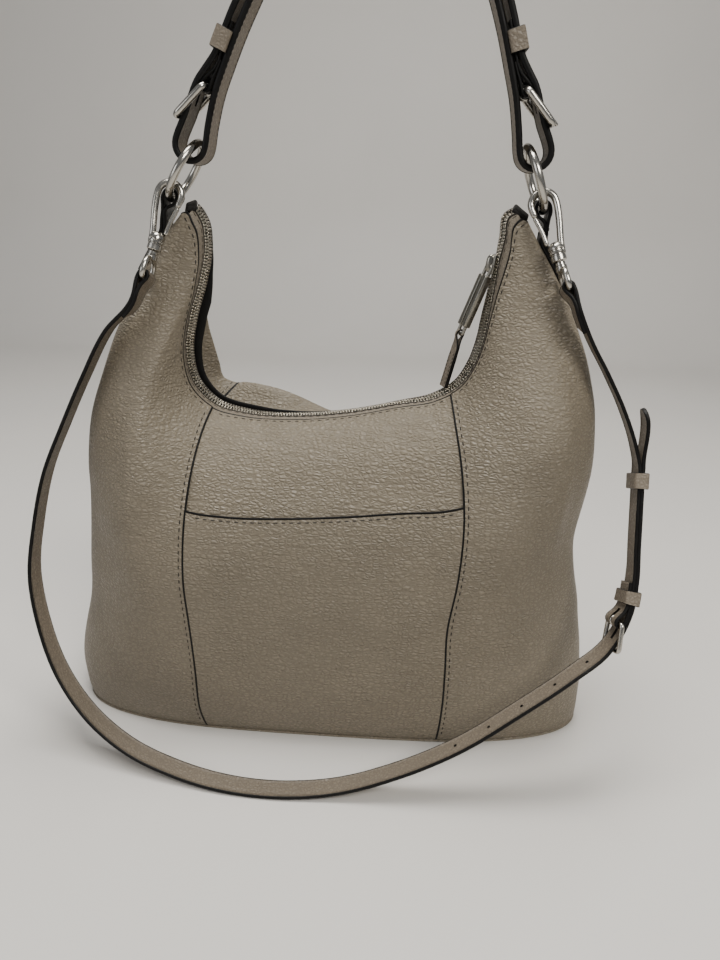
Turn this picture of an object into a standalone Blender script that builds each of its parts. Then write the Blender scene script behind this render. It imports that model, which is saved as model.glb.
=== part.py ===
"""Leather hobo bag: shell, zip, side rings, shoulder strap and clip-on crossbody strap.

Metres, +Z up. Origin: centre of the base's underside. The front faces -Y, X runs to the right.
Every piece is built in the bag's own frame and then moved to its pivot.
"""
import math
import bpy
import numpy as np
from mathutils import Vector

for _old in list(bpy.data.objects):
    bpy.data.objects.remove(_old, do_unlink=True)

MM = 0.001
GAP = 0.3 * MM

# ---- bag body ---------------------------------------------------------------------------------
LEFT_SIDE = [(-.187, 0), (-.189, .030), (-.177, .085), (-.171, .140), (-.168, .185), (-.150, .249),
             (-.1245, .302), (-.1090, .326), (-.0955, .3430)]
RIGHT_SIDE = [(.180, 0), (.179, .035), (.1695, .095), (.161, .138), (.1645, .195), (.158, .248),
              (.1385, .295), (.1215, .323), (.1085, .3435)]
ZIP_LINE = [(-.0955, .3430), (-.0905, .3450), (-.0850, .3385), (-.0830, .3230), (-.0872, .3018),
            (-.0950, .2780), (-.0985, .2560), (-.0945, .2365), (-.0820, .2235), (-.0600, .2175),
            (-.0264, .2168), (.0069, .2207), (.0396, .2280), (.0620, .2335), (.0765, .2430),
            (.0845, .2570), (.0885, .2715), (.0905, .2865), (.0925, .3015), (.0945, .3165),
            (.0965, .3315), (.0985, .3450), (.1030, .3470), (.1085, .3435)]
SEAM_SHARE = (.328, .703)            # where the two vertical seams meet the zip, by share of its run
SEAM_FOOT = (-.0857, .0753)          # x of the two seams at the base
HALF_DEPTH = 66 * MM                 # belly
EDGE_DEPTH = 6.5 * MM                # painted edge beside the zip
PLAN_POWER = 2.75                    # roundness of the plan outline
LEATHER = 1.4 * MM
BASE_LEATHER = 1.6 * MM

# ---- hardware -----------------------------------------------------------------------------------
RING_R, RING_WIRE = 18 * MM, 2.4 * MM
RING_FOOT_X = (-.1035, .1180)
RING_LEAN = (math.radians(31), math.radians(20))
AXIS_Z = .3644                       # both rings are centred on the handle's axis
RING_FOOT_Z = [AXIS_Z - RING_R * math.cos(lean) for lean in RING_LEAN]
TAB_HALF = 7.5 * MM
HOOK_Y = -12 * MM
HOOK_WIRE = 2.0 * MM
HOOK_SLANT = (-15.0, 19.0)           # outward lean of each hanging hook, degrees
HOOK_TIP = 17.0                      # both hang a little forward at the foot, degrees

# ---- straps -------------------------------------------------------------------------------------
STRAP_T, STRAP_HALF = 3.0 * MM, 10.5 * MM
LOOP_HALF = 8.7 * MM                 # half the spread of the strap's two legs at the ring
LOOP_OUT = (3.3 * MM, 3.8 * MM)       # how far each loop's middle lies outside the ring's top
LOOP_FOOT = AXIS_Z + 14.0 * MM
LOOP_TILT = (math.radians(12), math.radians(9))
ARCH = [(-.0725, .4050), (-.0655, .4215), (-.0572, .4390), (-.0475, .4570), (-.0365, .4790),
        (-.0245, .5040), (-.0085, .5300), (.0165, .5450), (.0410, .5320), (.0580, .5060),
        (.0695, .4810), (.0790, .4580), (.0860, .4390), (.0915, .4210), (.0958, .4060)]
CROSS_T, CROSS_HALF = 1.6 * MM, 7.5 * MM
CROSS_RUN = [(-.1380, -.0310, .2740), (-.1550, -.0325, .2450), (-.1700, -.0345, .2156), (-.1848, -.0380, .1827),
             (-.1926, -.0440, .1498), (-.1959, -.0520, .1169), (-.1892, -.0620, .0852),
             (-.1749, -.0730, .0538), (-.1531, -.0830, .0290), (-.1269, -.0920, .0140),
             (-.0951, -.1000, .0058), (-.0631, -.1060, .0024), (-.0305, -.1080, .0016),
             (.0072, -.1060, .0048), (.0506, -.1030, .0200), (.0866, -.0990, .0390),
             (.1213, -.0930, .0640), (.1510, -.0850, .0850), (.1720, -.0765, .1010),
             (.1830, -.0690, .1210), (.1868, -.0600, .1420), (.1868, -.0535, .1600),
             (.1868, -.0470, .1780), (.1868, -.0405, .1960), (.1866, -.0369, .2060), (.1840, -.0345, .2160),
             (.1745, -.0325, .2380), (.1620, -.0310, .2600), (.1500, -.0300, .2790)]

LEATHER_RGB = (.30, .27, .235)
STRAP_RGB = (.27, .243, .21)
METAL_RGB = (.78, .78, .79)
TAPE_RGB = (.27, .245, .215)
LINING_RGB = (.09, .085, .08)


# ---- curves -------------------------------------------------------------------------------------
def spline(points, per=14):
    """Smooth curve through the points, paced by the distance between them."""
    p = np.array(points, float)
    d = np.maximum(np.linalg.norm(np.diff(p, axis=0), axis=1), 1e-9)
    rate = np.diff(p, axis=0) / d[:, None]
    m = np.vstack([rate[:1], (rate[:-1] * d[1:, None] + rate[1:] * d[:-1, None]) / (d[1:] + d[:-1])[:, None],
                   rate[-1:]])
    out = []
    for i in range(len(d)):
        for s in np.arange(per) / per:
            out.append((2 * s ** 3 - 3 * s * s + 1) * p[i] + (s ** 3 - 2 * s * s + s) * d[i] * m[i]
                       + (3 * s * s - 2 * s ** 3) * p[i + 1] + (s ** 3 - s * s) * d[i] * m[i + 1])
    return np.array(out + [p[-1]])


def run_of(p):
    return np.concatenate([[0], np.cumsum(np.linalg.norm(np.diff(p, axis=0), axis=1))])


def ease(x):
    x = np.clip(x, 0, 1)
    return x * x * (3 - 2 * x)


def unit(v):
    v = np.asarray(v, float)
    return v / np.linalg.norm(v)


LEFT, RIGHT, ZIP = spline(LEFT_SIDE), spline(RIGHT_SIDE), spline(ZIP_LINE)
ZIP_RUN = run_of(ZIP)
ZIP_LEN = ZIP_RUN[-1]


def zip_at(share):
    a = np.clip(share, 0, 1) * ZIP_LEN
    return np.interp(a, ZIP_RUN, ZIP[:, 0]), np.interp(a, ZIP_RUN, ZIP[:, 1])


def side_x(curve, z):
    return np.interp(z, curve[:, 1], curve[:, 0])


# ---- body surface ---------------------------------------------------------------------------------
def skin(phi, t):
    """Point of the outer surface: phi 0..pi crosses the front from left to right, t is foot to zip."""
    phi, t = np.broadcast_arrays(np.asarray(phi, float), np.asarray(t, float))
    c = np.cos(phi)
    u = -np.sign(c) * np.abs(c) ** (2 / PLAN_POWER)
    s = (u + 1) / 2
    zx, zz = zip_at(s)
    foot = np.interp(s, [0, SEAM_SHARE[0], SEAM_SHARE[1], 1],
                     [LEFT_SIDE[0][0], SEAM_FOOT[0], SEAM_FOOT[1], RIGHT_SIDE[0][0]])
    x = (1 - t) * foot + t * zx
    for curve, weight in ((LEFT, (1 - s) ** 3), (RIGHT, s ** 3)):
        low, high = curve[0], curve[-1]
        x = x + weight * (side_x(curve, t * high[1]) - (1 - t) * low[0] - t * high[0])
    z = t * zz
    q = np.clip((t - .37) / .63, 0, 1)
    rise = np.clip((.37 - t) / .37, 0, 1)
    profile = np.where(t > .37, (1 - q ** 2.6) ** .62, 1 - .17 * rise ** 2.5)
    power = PLAN_POWER + 4 * t ** 4
    plan = np.maximum(1 - np.abs(u) ** power, 0) ** (1 / power)
    rim = np.maximum(1 - np.abs(u) ** 12, 0) ** (1 / 12)
    taper = 1 - .80 * ease((z - .205) / .135)
    depth = EDGE_DEPTH * rim * t ** 3 + HALF_DEPTH * profile * taper * plan * (1 - .06 * t ** 3)
    y = -np.sign(np.sin(phi) + 1e-12) * depth
    return np.stack([x, y, z], -1)


def skin_normal(phi, t):
    h = 2e-3
    phi, t = np.broadcast_arrays(np.asarray(phi, float), np.asarray(t, float))
    a = skin(phi + h, t) - skin(phi - h, t)
    b = skin(phi, np.clip(t + h, 0, 1)) - skin(phi, np.clip(t - h, 0, 1))
    n = np.cross(a, b)
    return n / np.maximum(np.linalg.norm(n, axis=-1, keepdims=True), 1e-12)


def phi_of(share):
    u = 2 * np.asarray(share, float) - 1
    return np.arccos(np.clip(-np.sign(u) * np.abs(u) ** (PLAN_POWER / 2), -1, 1))


# ---- mesh helpers ---------------------------------------------------------------------------------
def node(name, verts, faces, rgb, metal=0.0, rough=.6, pivot=(0, 0, 0), parent=None):
    """A named body from points in the bag's frame, its origin moved to its pivot."""
    verts = np.asarray(verts, float)
    volume = 0.0
    for f in faces:
        for i in range(1, len(f) - 1):
            volume += np.dot(verts[f[0]], np.cross(verts[f[i]], verts[f[i + 1]]))
    if volume < 0:
        faces = [tuple(reversed(f)) for f in faces]
    pivot = np.asarray(pivot, float)
    mesh = bpy.data.meshes.new(name)
    mesh.from_pydata([tuple(v) for v in (verts - pivot)], [], [tuple(f) for f in faces])
    mesh.update()
    obj = bpy.data.objects.new(name, mesh)
    bpy.context.scene.collection.objects.link(obj)
    obj.location = Vector(pivot)
    if parent is not None:
        obj.parent = parent
        obj.location = Vector(pivot) - Vector(parent["pivot"])
    obj["pivot"] = tuple(float(v) for v in pivot)
    mat = bpy.data.materials.new(name + "_finish")
    mat.use_nodes = True
    shader = mat.node_tree.nodes["Principled BSDF"]
    shader.inputs["Base Color"].default_value = (*rgb, 1)
    shader.inputs["Metallic"].default_value = metal
    shader.inputs["Roughness"].default_value = rough
    mesh.materials.append(mat)
    return obj


def grid_faces(rows, cols, first=0, wrap_rows=False, wrap_cols=False):
    out = []
    for i in range(rows if wrap_rows else rows - 1):
        for j in range(cols if wrap_cols else cols - 1):
            i2, j2 = (i + 1) % rows, (j + 1) % cols
            out.append((first + i * cols + j, first + i2 * cols + j,
                        first + i2 * cols + j2, first + i * cols + j2))
    return out


def shell(outer, inner):
    """Closed sheet body between two matching grids of points."""
    rows, cols = outer.shape[:2]
    verts = np.vstack([outer.reshape(-1, 3), inner.reshape(-1, 3)])
    k = rows * cols
    faces = grid_faces(rows, cols) + [tuple(reversed(f)) for f in grid_faces(rows, cols, k)]
    rim = ([(i, 0) for i in range(rows)] + [(rows - 1, j) for j in range(1, cols)]
           + [(i, cols - 1) for i in range(rows - 2, -1, -1)] + [(0, j) for j in range(cols - 2, 0, -1)])
    ids = [i * cols + j for i, j in rim]
    for a, b in zip(ids, ids[1:] + ids[:1]):
        faces.append((b, a, a + k, b + k))
    return verts, faces


def sweep(sections, closed=False):
    """Closed body through matching section outlines, capped unless it closes on itself."""
    s = np.asarray(sections, float)
    rows, cols = s.shape[:2]
    faces = grid_faces(rows, cols, 0, closed, True)
    if not closed:
        faces += [tuple(range(cols)), tuple((rows - 1) * cols + j for j in range(cols))[::-1]]
    return s.reshape(-1, 3), faces


def wire(points, radius, closed=False, sides=8):
    """Round bar along a line of points."""
    p = np.asarray(points, float)
    n = len(p)
    if closed:
        tan = np.roll(p, -1, 0) - np.roll(p, 1, 0)
    else:
        tan = np.gradient(p, axis=0)
    tan /= np.linalg.norm(tan, axis=1)[:, None]
    plane = np.linalg.svd(p - p.mean(0))[2][2]
    rings = []
    for i in range(n):
        a = unit(plane - tan[i] * np.dot(plane, tan[i]))
        b = np.cross(tan[i], a)
        rings.append([p[i] + radius * (math.cos(w) * a + math.sin(w) * b)
                      for w in (2 * math.pi * (k + .5) / sides for k in range(sides))])
    return sweep(rings, closed)


def arc(centre, radius, start, end, count):
    """Points of a flat arc, angles in degrees."""
    return [(centre[0] + radius * math.cos(math.radians(a)), centre[1] + radius * math.sin(math.radians(a)))
            for a in np.linspace(start, end, count)]


def block(lo, hi):
    v = [(x, y, z) for x in (lo[0], hi[0]) for y in (lo[1], hi[1]) for z in (lo[2], hi[2])]
    f = [(0, 1, 3, 2), (4, 6, 7, 5), (0, 4, 5, 1), (2, 3, 7, 6), (0, 2, 6, 4), (1, 5, 7, 3)]
    return np.array(v, float), f


def combine(obj, parts, how):
    """Join or cut the object with plain solids given in the bag's frame."""
    for verts, faces in parts:
        tool = node(obj.name + "_tool", verts, faces, (0, 0, 0))
        mod = obj.modifiers.new("shape", "BOOLEAN")
        mod.operation, mod.solver, mod.object = how, "EXACT", tool
        bpy.context.view_layer.update()
        solved = bpy.data.meshes.new_from_object(obj.evaluated_get(bpy.context.evaluated_depsgraph_get()))
        obj.modifiers.clear()
        solved.name = obj.name
        obj.data = solved
        bpy.data.objects.remove(tool, do_unlink=True)
    return obj


# ---- straps -------------------------------------------------------------------------------------
class Lay:
    """A strap's own frame: l along it, n off its face, w across it."""

    def __init__(self, points, across=(0, 1, 0), per=10):
        self.p = spline(points, per)
        self.l = run_of(self.p)
        self.length = self.l[-1]
        tan = np.gradient(self.p, self.l, axis=0)
        self.t = tan / np.linalg.norm(tan, axis=1)[:, None]
        w = np.asarray(across, float) - self.t * (self.t @ np.asarray(across, float))[:, None]
        self.w = w / np.linalg.norm(w, axis=1)[:, None]
        self.n = np.cross(self.w, self.t)

    def frame(self, l):
        q = np.clip(l, 0, self.length)
        get = lambda a: np.array([np.interp(q, self.l, a[:, k]) for k in range(3)])
        t, n, w = unit(get(self.t)), unit(get(self.n)), unit(get(self.w))
        return get(self.p) + t * (l - q), t, n, w

    def at(self, l, n=0.0, w=0.0):
        p, _, nn, ww = self.frame(l)
        return p + nn * n + ww * w


def strip(lay, line, half, thick):
    """Flat strap whose centre line is drawn in the (l, n) plane of a lay."""
    line = np.array(line, float)
    tan = np.gradient(line, axis=0)
    tan /= np.linalg.norm(tan, axis=1)[:, None]
    nor = np.stack([-tan[:, 1], tan[:, 0]], -1)
    rows = []
    for c, m in zip(line, nor):
        a, b = c + m * thick / 2, c - m * thick / 2
        rows.append([lay.at(a[0], a[1], -half), lay.at(a[0], a[1], half),
                     lay.at(b[0], b[1], half), lay.at(b[0], b[1], -half)])
    return sweep(rows)


def stretch(l0, l1, n0, n1=None, step=.012):
    """Stations from l0 to l1 while the height eases from n0 to n1."""
    n1 = n0 if n1 is None else n1
    k = max(2, int(abs(l1 - l0) / step) + 1)
    return [(l0 + (l1 - l0) * s, n0 + (n1 - n0) * float(ease(s))) for s in np.linspace(0, 1, k)]


def band(lay, l0, l1, n0, n1, half, thick):
    """Keeper: a flat band wrapped round everything between n0 and n1."""
    c = .8 * MM
    rows = []
    for grow, l in ((0, l0), (thick, l0), (thick, l1), (0, l1)):
        a, b, w = n0 - grow, n1 + grow, half + grow
        k = c if grow else .3 * MM
        rows.append([lay.at(l, n, v) for n, v in
                     ((a, -w + k), (a, w - k), (a + k, w), (b - k, w), (b, w - k), (b, -w + k),
                      (b - k, -w), (a + k, -w))])
    return sweep(rows, closed=True)


# ================================ the bag ==========================================================
T_ROWS = 1 - (1 - np.linspace(0, 1, 13)) ** 1.6
POCKET_TOP = .785                    # share of the panel's height
CENTRE_ROWS = np.concatenate([POCKET_TOP * (1 - (1 - np.linspace(0, 1, 9)) ** 1.15),
                              1 - (1 - POCKET_TOP) * (1 - np.linspace(.25, 1, 4)) ** 1.5])
SEAM_GAP = .0009


def panel(name, side, s0, s1, cols, out=0.0, thick=LEATHER, t_top=None, t_rows=T_ROWS, rgb=LEATHER_RGB,
          foot=.0019, mirror_gap=.2 * MM, recess=None, rough=.55):
    phis = np.linspace(phi_of(s0), phi_of(s1), cols)
    zz = zip_at((-np.sign(np.cos(phis)) * np.abs(np.cos(phis)) ** (2 / PLAN_POWER) + 1) / 2)[1]
    low = foot / zz
    high = np.ones(cols) if t_top is None else t_top / zz
    t = low[:, None] + (high - low)[:, None] * t_rows[None, :]
    ph = np.repeat(phis[:, None], len(t_rows), 1)
    p, n = skin(ph, t), skin_normal(ph, t)
    lift = out if recess is None else out + recess(t)
    lift = np.broadcast_to(lift, p.shape[:2])[..., None]
    outer, inner = p + n * lift, p + n * (lift - thick)
    for g in (outer, inner):
        g[:, 0, 2] = foot
        g[..., 1] = np.minimum(g[..., 1], 0) - mirror_gap
        if side == "back":
            g[..., 1] *= -1
    return node(name, *shell(outer, inner), rgb, rough=rough)


def centre_recess(t):
    """The front centre panel sits under the side panels, deeper where the pocket covers it."""
    return -(.6 + 1.1 * (1 - ease((t - POCKET_TOP - .01) / .10))) * MM


A, B = SEAM_SHARE
for side in ("front", "back"):
    panel(side + "_left_panel", side, 0, A - SEAM_GAP, 11)
    panel(side + "_right_panel", side, B + SEAM_GAP, 1, 11)
panel("front_center_panel", "front", A + SEAM_GAP, B - SEAM_GAP, 8, thick=1.2 * MM,
      recess=centre_recess, t_rows=CENTRE_ROWS)
panel("back_center_panel", "back", A + SEAM_GAP, B - SEAM_GAP, 8, out=-.6 * MM)
panel("front_slip_pocket", "front", A + 2 * SEAM_GAP, B - 2 * SEAM_GAP, 8, out=-.15 * MM, thick=1.1 * MM,
      t_rows=CENTRE_ROWS[:9])
for side in ("front", "back"):
    panel("lining_" + side, side, .035, .965, 15, out=-5.0 * MM, thick=.6 * MM, foot=.0052,
          t_rows=T_ROWS[:10], rgb=LINING_RGB, mirror_gap=.3 * MM, rough=.9)


def oval(name, z0, z1, inset, rgb, rough):
    count = 44
    ph = np.linspace(0, 2 * math.pi, count, endpoint=False)
    rim = skin(ph, np.full(count, .004))
    mid = np.array([-.0035, 0, 0])
    size = np.array([.1835, .0557, 1])
    ring = mid + (rim - mid) * (1 - inset / size)
    rows = []
    for z in (z0, z1):
        r = ring.copy()
        r[:, 2] = z
        rows.append(r)
    return node(name, *sweep(rows), rgb, rough=rough)


oval("base_panel", 0, BASE_LEATHER, .3 * MM, LEATHER_RGB, .6)
oval("base_board", .0019, .0044, 3.2 * MM, (.05, .05, .05), .9)

# ---- zip ------------------------------------------------------------------------------------------
END_CLEAR = 7 * MM
ZIP_ROWS = 46
zip_shares = np.linspace(END_CLEAR / ZIP_LEN, 1 - END_CLEAR / ZIP_LEN, ZIP_ROWS)


def zip_frame(share):
    x, z = zip_at(share)
    e = 1.5 * MM / ZIP_LEN
    ax, az = zip_at(share - e)
    bx, bz = zip_at(share + e)
    t = unit([bx - ax, 0, bz - az])
    return np.array([x, 0, z]), t, np.array([-t[2], 0, t[0]])


for side, sign in (("front", -1), ("back", 1)):
    rows = []
    for share in zip_shares:
        p, t, n = zip_frame(share)
        rows.append([p + n * h + np.array([0, sign * y, 0]) for y, h in
                     ((.6 * MM, -1 * MM), (3 * MM, -1 * MM), (3 * MM, .8 * MM), (2.2 * MM, 1.2 * MM),
                      (.6 * MM, 1.2 * MM))])
    node("zip_teeth_" + side, *sweep(rows), METAL_RGB, 1.0, .25)
    top, low = [], []
    for share in zip_shares:
        p, t, n = zip_frame(share)
        ph = phi_of(share) * (1 if sign < 0 else -1)
        r = [p + n * -.3 * MM + np.array([0, sign * 3.3 * MM, 0])]
        b = [p + n * -.8 * MM + np.array([0, sign * 3.3 * MM, 0])]
        for tt in (1.0, .985):
            q, m = skin(ph, tt), skin_normal(ph, tt)
            if tt == 1.0:
                m = n
                q = q - np.array([0, sign * .9 * MM, 0])
            centre = q + m * -(LEATHER + 1.9 * MM)
            r.append(centre + m * .25 * MM)
            b.append(centre - m * .25 * MM)
        top.append(r)
        low.append(b)
    node("zip_tape_" + side, *shell(np.array(top), np.array(low)), TAPE_RGB, rough=.9)

# slider, pull and leather pull tab
SLIDER_AT = ZIP_RUN[np.argmin(np.hypot(ZIP[:, 0] - .0945, ZIP[:, 1] - .3165))] / ZIP_LEN
SP, ST, SN = zip_frame(SLIDER_AT)
SY = np.array([0, 1, 0])


def on_slider(a, y, n):
    return SP + ST * a + SY * y + SN * n


def slider_block(a0, a1, y0, y1, n0, n1):
    v, f = block((a0, y0, n0), (a1, y1, n1))
    return np.array([on_slider(*q) for q in v]), f


slider = node("zip_slider", *slider_block(-6 * MM, 6 * MM, -4.1 * MM, 4.1 * MM, 1.5 * MM, 2.6 * MM),
              METAL_RGB, 1.0, .2, pivot=SP)
combine(slider, [
    slider_block(2 * MM, 5.4 * MM, -.28 * MM, .28 * MM, -2.0 * MM, 2.0 * MM),
    slider_block(-5.6 * MM, 5.6 * MM, -3.4 * MM, 3.4 * MM, -2.6 * MM, -1.9 * MM)], "UNION")
arch = [on_slider(a, 0, n) for a, n in
        [(-4.2 * MM, 2.0 * MM), (-4.2 * MM, 4.0 * MM), (-3.2 * MM, 5.6 * MM), (-1.2 * MM, 6.2 * MM),
         (1.2 * MM, 6.2 * MM), (3.2 * MM, 5.6 * MM), (4.2 * MM, 4.0 * MM), (4.2 * MM, 2.0 * MM)]]
combine(slider, [wire(arch, .75 * MM)], "UNION")

PULL_PIVOT = on_slider(-1.6 * MM, 0, 4.15 * MM)
PULL_END = np.array([.0752, 0, .2742])
PULL_DIR = unit(PULL_END - PULL_PIVOT)
PULL_LEN = float(np.linalg.norm(PULL_END - PULL_PIVOT))
PULL_OUT = np.cross(SY, PULL_DIR)
BAR = 1.1 * MM


def loop_rect(origin, along, across, length, half, corner, count=4):
    """Rounded rectangle of points, from the origin's bar to the far bar."""
    pts = []
    for cl, cw, a0 in ((length - corner, half - corner, 0), (corner, half - corner, 90),
                       (corner, -(half - corner), 180), (length - corner, -(half - corner), 270)):
        for a in np.linspace(a0, a0 + 90, count):
            r = math.radians(a)
            pts.append(origin + along * (cl + corner * math.cos(r)) + across * (cw + corner * math.sin(r)))
    return pts


pull = node("zip_pull", *wire(loop_rect(PULL_PIVOT, PULL_DIR, SY, PULL_LEN, 2.9 * MM, 1.6 * MM), BAR, True),
            METAL_RGB, 1.0, .22, pivot=PULL_PIVOT, parent=slider)
for y0, y1 in ((-4.1, -1.9), (1.9, 4.1)):     # the pull's two long sides are flat bars
    v, f = block((8 * MM, y0 * MM, -2.2 * MM), (PULL_LEN - 4 * MM, y1 * MM, 2.2 * MM))
    combine(pull, [(np.array([PULL_PIVOT + PULL_DIR * a + SY * y + PULL_OUT * n for a, y, n in v]), f)], "UNION")

TAB_TIP = np.array([.0672, 0, .2400])
TAB_DIR = unit(TAB_TIP - PULL_END)
tab_lay = Lay([PULL_END, PULL_END + TAB_DIR * .5 * (PULL_LEN * 0 + .018), PULL_END + TAB_DIR * .036], per=6)
TAB_RUN = float(np.linalg.norm(TAB_TIP - PULL_END))
fold = BAR + GAP + .5 * MM
line = (stretch(TAB_RUN, .007, .65 * MM, step=.008) + [(.0035, 1.3 * MM)]
        + arc((0, 0), fold, 90, 270, 7) + [(.0035, -1.3 * MM)] + stretch(.007, TAB_RUN, -.65 * MM, step=.008))
tab_rows = []
line = np.array(line)
tan = np.gradient(line, axis=0)
tan /= np.linalg.norm(tan, axis=1)[:, None]
for (l, n), (tl, tn) in zip(line, tan):
    half = (1.35 + 2.35 * float(ease((l - .002) / .008))) * MM
    m = np.array([-tn, tl]) * .5 * MM
    tab_rows.append([tab_lay.at(l + m[0], n + m[1], -half), tab_lay.at(l + m[0], n + m[1], half),
                     tab_lay.at(l - m[0], n - m[1], half), tab_lay.at(l - m[0], n - m[1], -half)])
node("zip_pull_tab", *sweep(tab_rows), STRAP_RGB, rough=.6, pivot=PULL_END, parent=pull)

# ---- side rings and their leather tabs --------------------------------------------------------------
ring_centre = []
for k, (name, sign) in enumerate((("left", 1), ("right", -1))):
    foot = np.array([RING_FOOT_X[k], 0, RING_FOOT_Z[k]])
    up = np.array([sign * math.sin(RING_LEAN[k]), 0, math.cos(RING_LEAN[k])])
    centre = foot + up * RING_R
    ring_centre.append(centre)
    pts = [centre + RING_R * (-up * math.cos(a) + SY * math.sin(a))
           for a in np.linspace(0, 2 * math.pi, 24, endpoint=False)]
    node("ring_" + name, *wire(pts, RING_WIRE, True), METAL_RGB, 1.0, .15)
    curve = LEFT if k == 0 else RIGHT
    off = GAP + 1.95 * MM
    pts = []
    for z in (.306, .3135, .321, .3280):
        a, b = side_x(curve, z - .002), side_x(curve, z + .002)
        nrm = unit([-.004, 0, b - a]) if k == 0 else unit([.004, 0, -(b - a)])
        pts.append(np.array([side_x(curve, z), 0, z]) + nrm * off)
    lay = Lay(pts + [foot - up * 6 * MM, foot], per=6)
    end, r = lay.length, RING_WIRE + GAP + .5 * MM + .9 * MM
    h = 1.05 * MM
    line = (stretch(0, end - .0065, h, step=.008) + [(end - .0045, 1.9 * MM), (end - .0022, 3.5 * MM)]
            + arc((end + 1.6 * MM, 0), r, 90, -90, 9) + [(end - .0022, -3.5 * MM), (end - .0045, -1.9 * MM)]
            + stretch(end - .0065, 0, -h, step=.008))
    node("side_tab_" + name, *strip(lay, line, TAB_HALF, 1.8 * MM), STRAP_RGB, rough=.6)

# ---- shoulder strap ---------------------------------------------------------------------------------
HANDLE_PIVOT = np.array([0, 0, AXIS_Z])
loop_ends = []
for k, sign in enumerate((1, -1)):   # where each loop's inner leg starts, and a point further up that leg
    middle = np.array([ring_centre[k][0] + sign * (RING_R * math.sin(RING_LEAN[k]) - LOOP_OUT[k]), LOOP_FOOT])
    c, d = math.cos(LOOP_TILT[k]), math.sin(LOOP_TILT[k])
    leg = middle + LOOP_HALF * np.array([sign * c, -d])
    loop_ends += [leg, leg + .011 * np.array([sign * d, c])]
arch_pts = loop_ends[:2] + ARCH + loop_ends[:1:-1]
arch = Lay([(x, 0, z) for x, z in arch_pts], across=(0, -1, 0))
END = arch.length
HEEL, TIP = 31 * MM, 84 * MM


def tongue(l):
    return np.interp(l, [0, 5 * MM, 13 * MM, 22 * MM, 31 * MM, 39 * MM, 46 * MM, 50 * MM],
                     np.array([2 * LOOP_HALF / MM, 16.7, 14.3, 12.7, 11.6, 9.0, 7.1, 6.4]) * MM)


def both_ends(l, left):
    return l if left else END - l


out_leg = [(l, float(tongue(l))) for l in np.linspace(TIP, 0, 19)]
turn = arc((0, LOOP_HALF), LOOP_HALF, 90, 270, 11)[1:]
span = stretch(0, END, 0, step=.0105)[1:]
turn2 = [(END - a, b) for a, b in reversed(turn[:-1])] + [(END, 2 * LOOP_HALF)]
back_leg = [(END - l, n) for l, n in reversed(out_leg)][1:]
strap = node("shoulder_strap", *strip(arch, out_leg + turn + span + turn2 + back_leg, STRAP_HALF, STRAP_T),
             STRAP_RGB, rough=.6, pivot=HANDLE_PIVOT)


def lay_block(lay, l0, l1, n0, n1, half):
    v, f = block((l0, n0, -half), (l1, n1, half))
    return np.array([lay.at(*q) for q in v]), f


for left, name in ((True, "left"), (False, "right")):
    m = (lambda l: l) if left else (lambda l: END - l)
    heel, far = (HEEL, 6.3 * MM), (13.0 * MM, 18.0 * MM)
    bar, pr = 1.7 * MM, 1.1 * MM
    span_lf = math.hypot(far[0] - heel[0], far[1] - heel[1])
    e = ((far[0] - heel[0]) / span_lf, (far[1] - heel[1]) / span_lf)
    f = (-e[1] * -1, e[0] * -1)      # outward from the frame's plane
    if f[1] < 0:
        f = (-f[0], -f[1])
    combine(strap, [lay_block(arch, *sorted((m(20 * MM), m(36 * MM))), 7.4 * MM, 16.5 * MM, 1.6 * MM)],
            "DIFFERENCE")
    # buckle frame
    half = STRAP_HALF + .5 * MM + bar
    pts = []
    for a, b, c in ((1, 1, 0), (0, 1, 90), (0, -1, 180), (1, -1, 270)):
        for ang in np.linspace(c, c + 90, 4):
            r = math.radians(ang)
            k = 2.6 * MM
            along = (span_lf - k if a else k) + k * math.cos(r)
            w = b * (half - k) + k * math.sin(r)
            pts.append(arch.at(m(heel[0] + e[0] * along), heel[1] + e[1] * along, w))
    node("handle_buckle_" + name, *wire(pts, bar, True), METAL_RGB, 1.0, .15, pivot=HANDLE_PIVOT, parent=strap)
    # leather piece that holds the buckle on the strap
    r = bar + GAP + .6 * MM
    line = (stretch(46 * MM, HEEL, 2.4 * MM, heel[1] - r, step=.005)
            + arc(heel, r, 270, 90, 9)[1:] + stretch(HEEL, 43 * MM, heel[1] + r, 3.9 * MM, step=.003)[1:]
            + stretch(43 * MM, 66 * MM, 3.9 * MM, step=.008)[1:])
    line = [(m(a), b) for a, b in line]
    chape = node("handle_chape_" + name, *strip(arch, line, STRAP_HALF - 1 * MM, 1.2 * MM), STRAP_RGB,
                 rough=.6, pivot=HANDLE_PIVOT, parent=strap)
    combine(chape, [lay_block(arch, *sorted((m(24 * MM), m(38.5 * MM))), .7 * MM, 12 * MM, 1.8 * MM)],
            "DIFFERENCE")
    # prong: an eye round the frame's inner bar, lying out across the far bar
    rr = bar + GAP + .25 * MM + pr
    base = math.degrees(math.atan2(f[1], f[0]))
    turnway = 1 if (math.cos(math.radians(base + 90)) * e[0] + math.sin(math.radians(base + 90)) * e[1]) < 0 else -1
    eye = arc(heel, rr, base + turnway * 285, base, 12)
    tip = [(heel[0] + f[0] * rr + e[0] * d, heel[1] + f[1] * rr + e[1] * d)
           for d in np.linspace(0, span_lf + 2.2 * MM, 4)[1:]]
    pivot = arch.at(m(heel[0]), heel[1])
    node("handle_prong_" + name, *wire([arch.at(m(a), b) for a, b in eye + tip], pr), METAL_RGB, 1.0, .15,
         pivot=pivot, parent=strap)
    node("handle_keeper_" + name, *band(arch, *sorted((m(51 * MM), m(60 * MM))), 2.8 * MM, 8.2 * MM,
                                        STRAP_HALF + .4 * MM, 1.0 * MM),
         STRAP_RGB, rough=.6, pivot=HANDLE_PIVOT, parent=strap)

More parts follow.
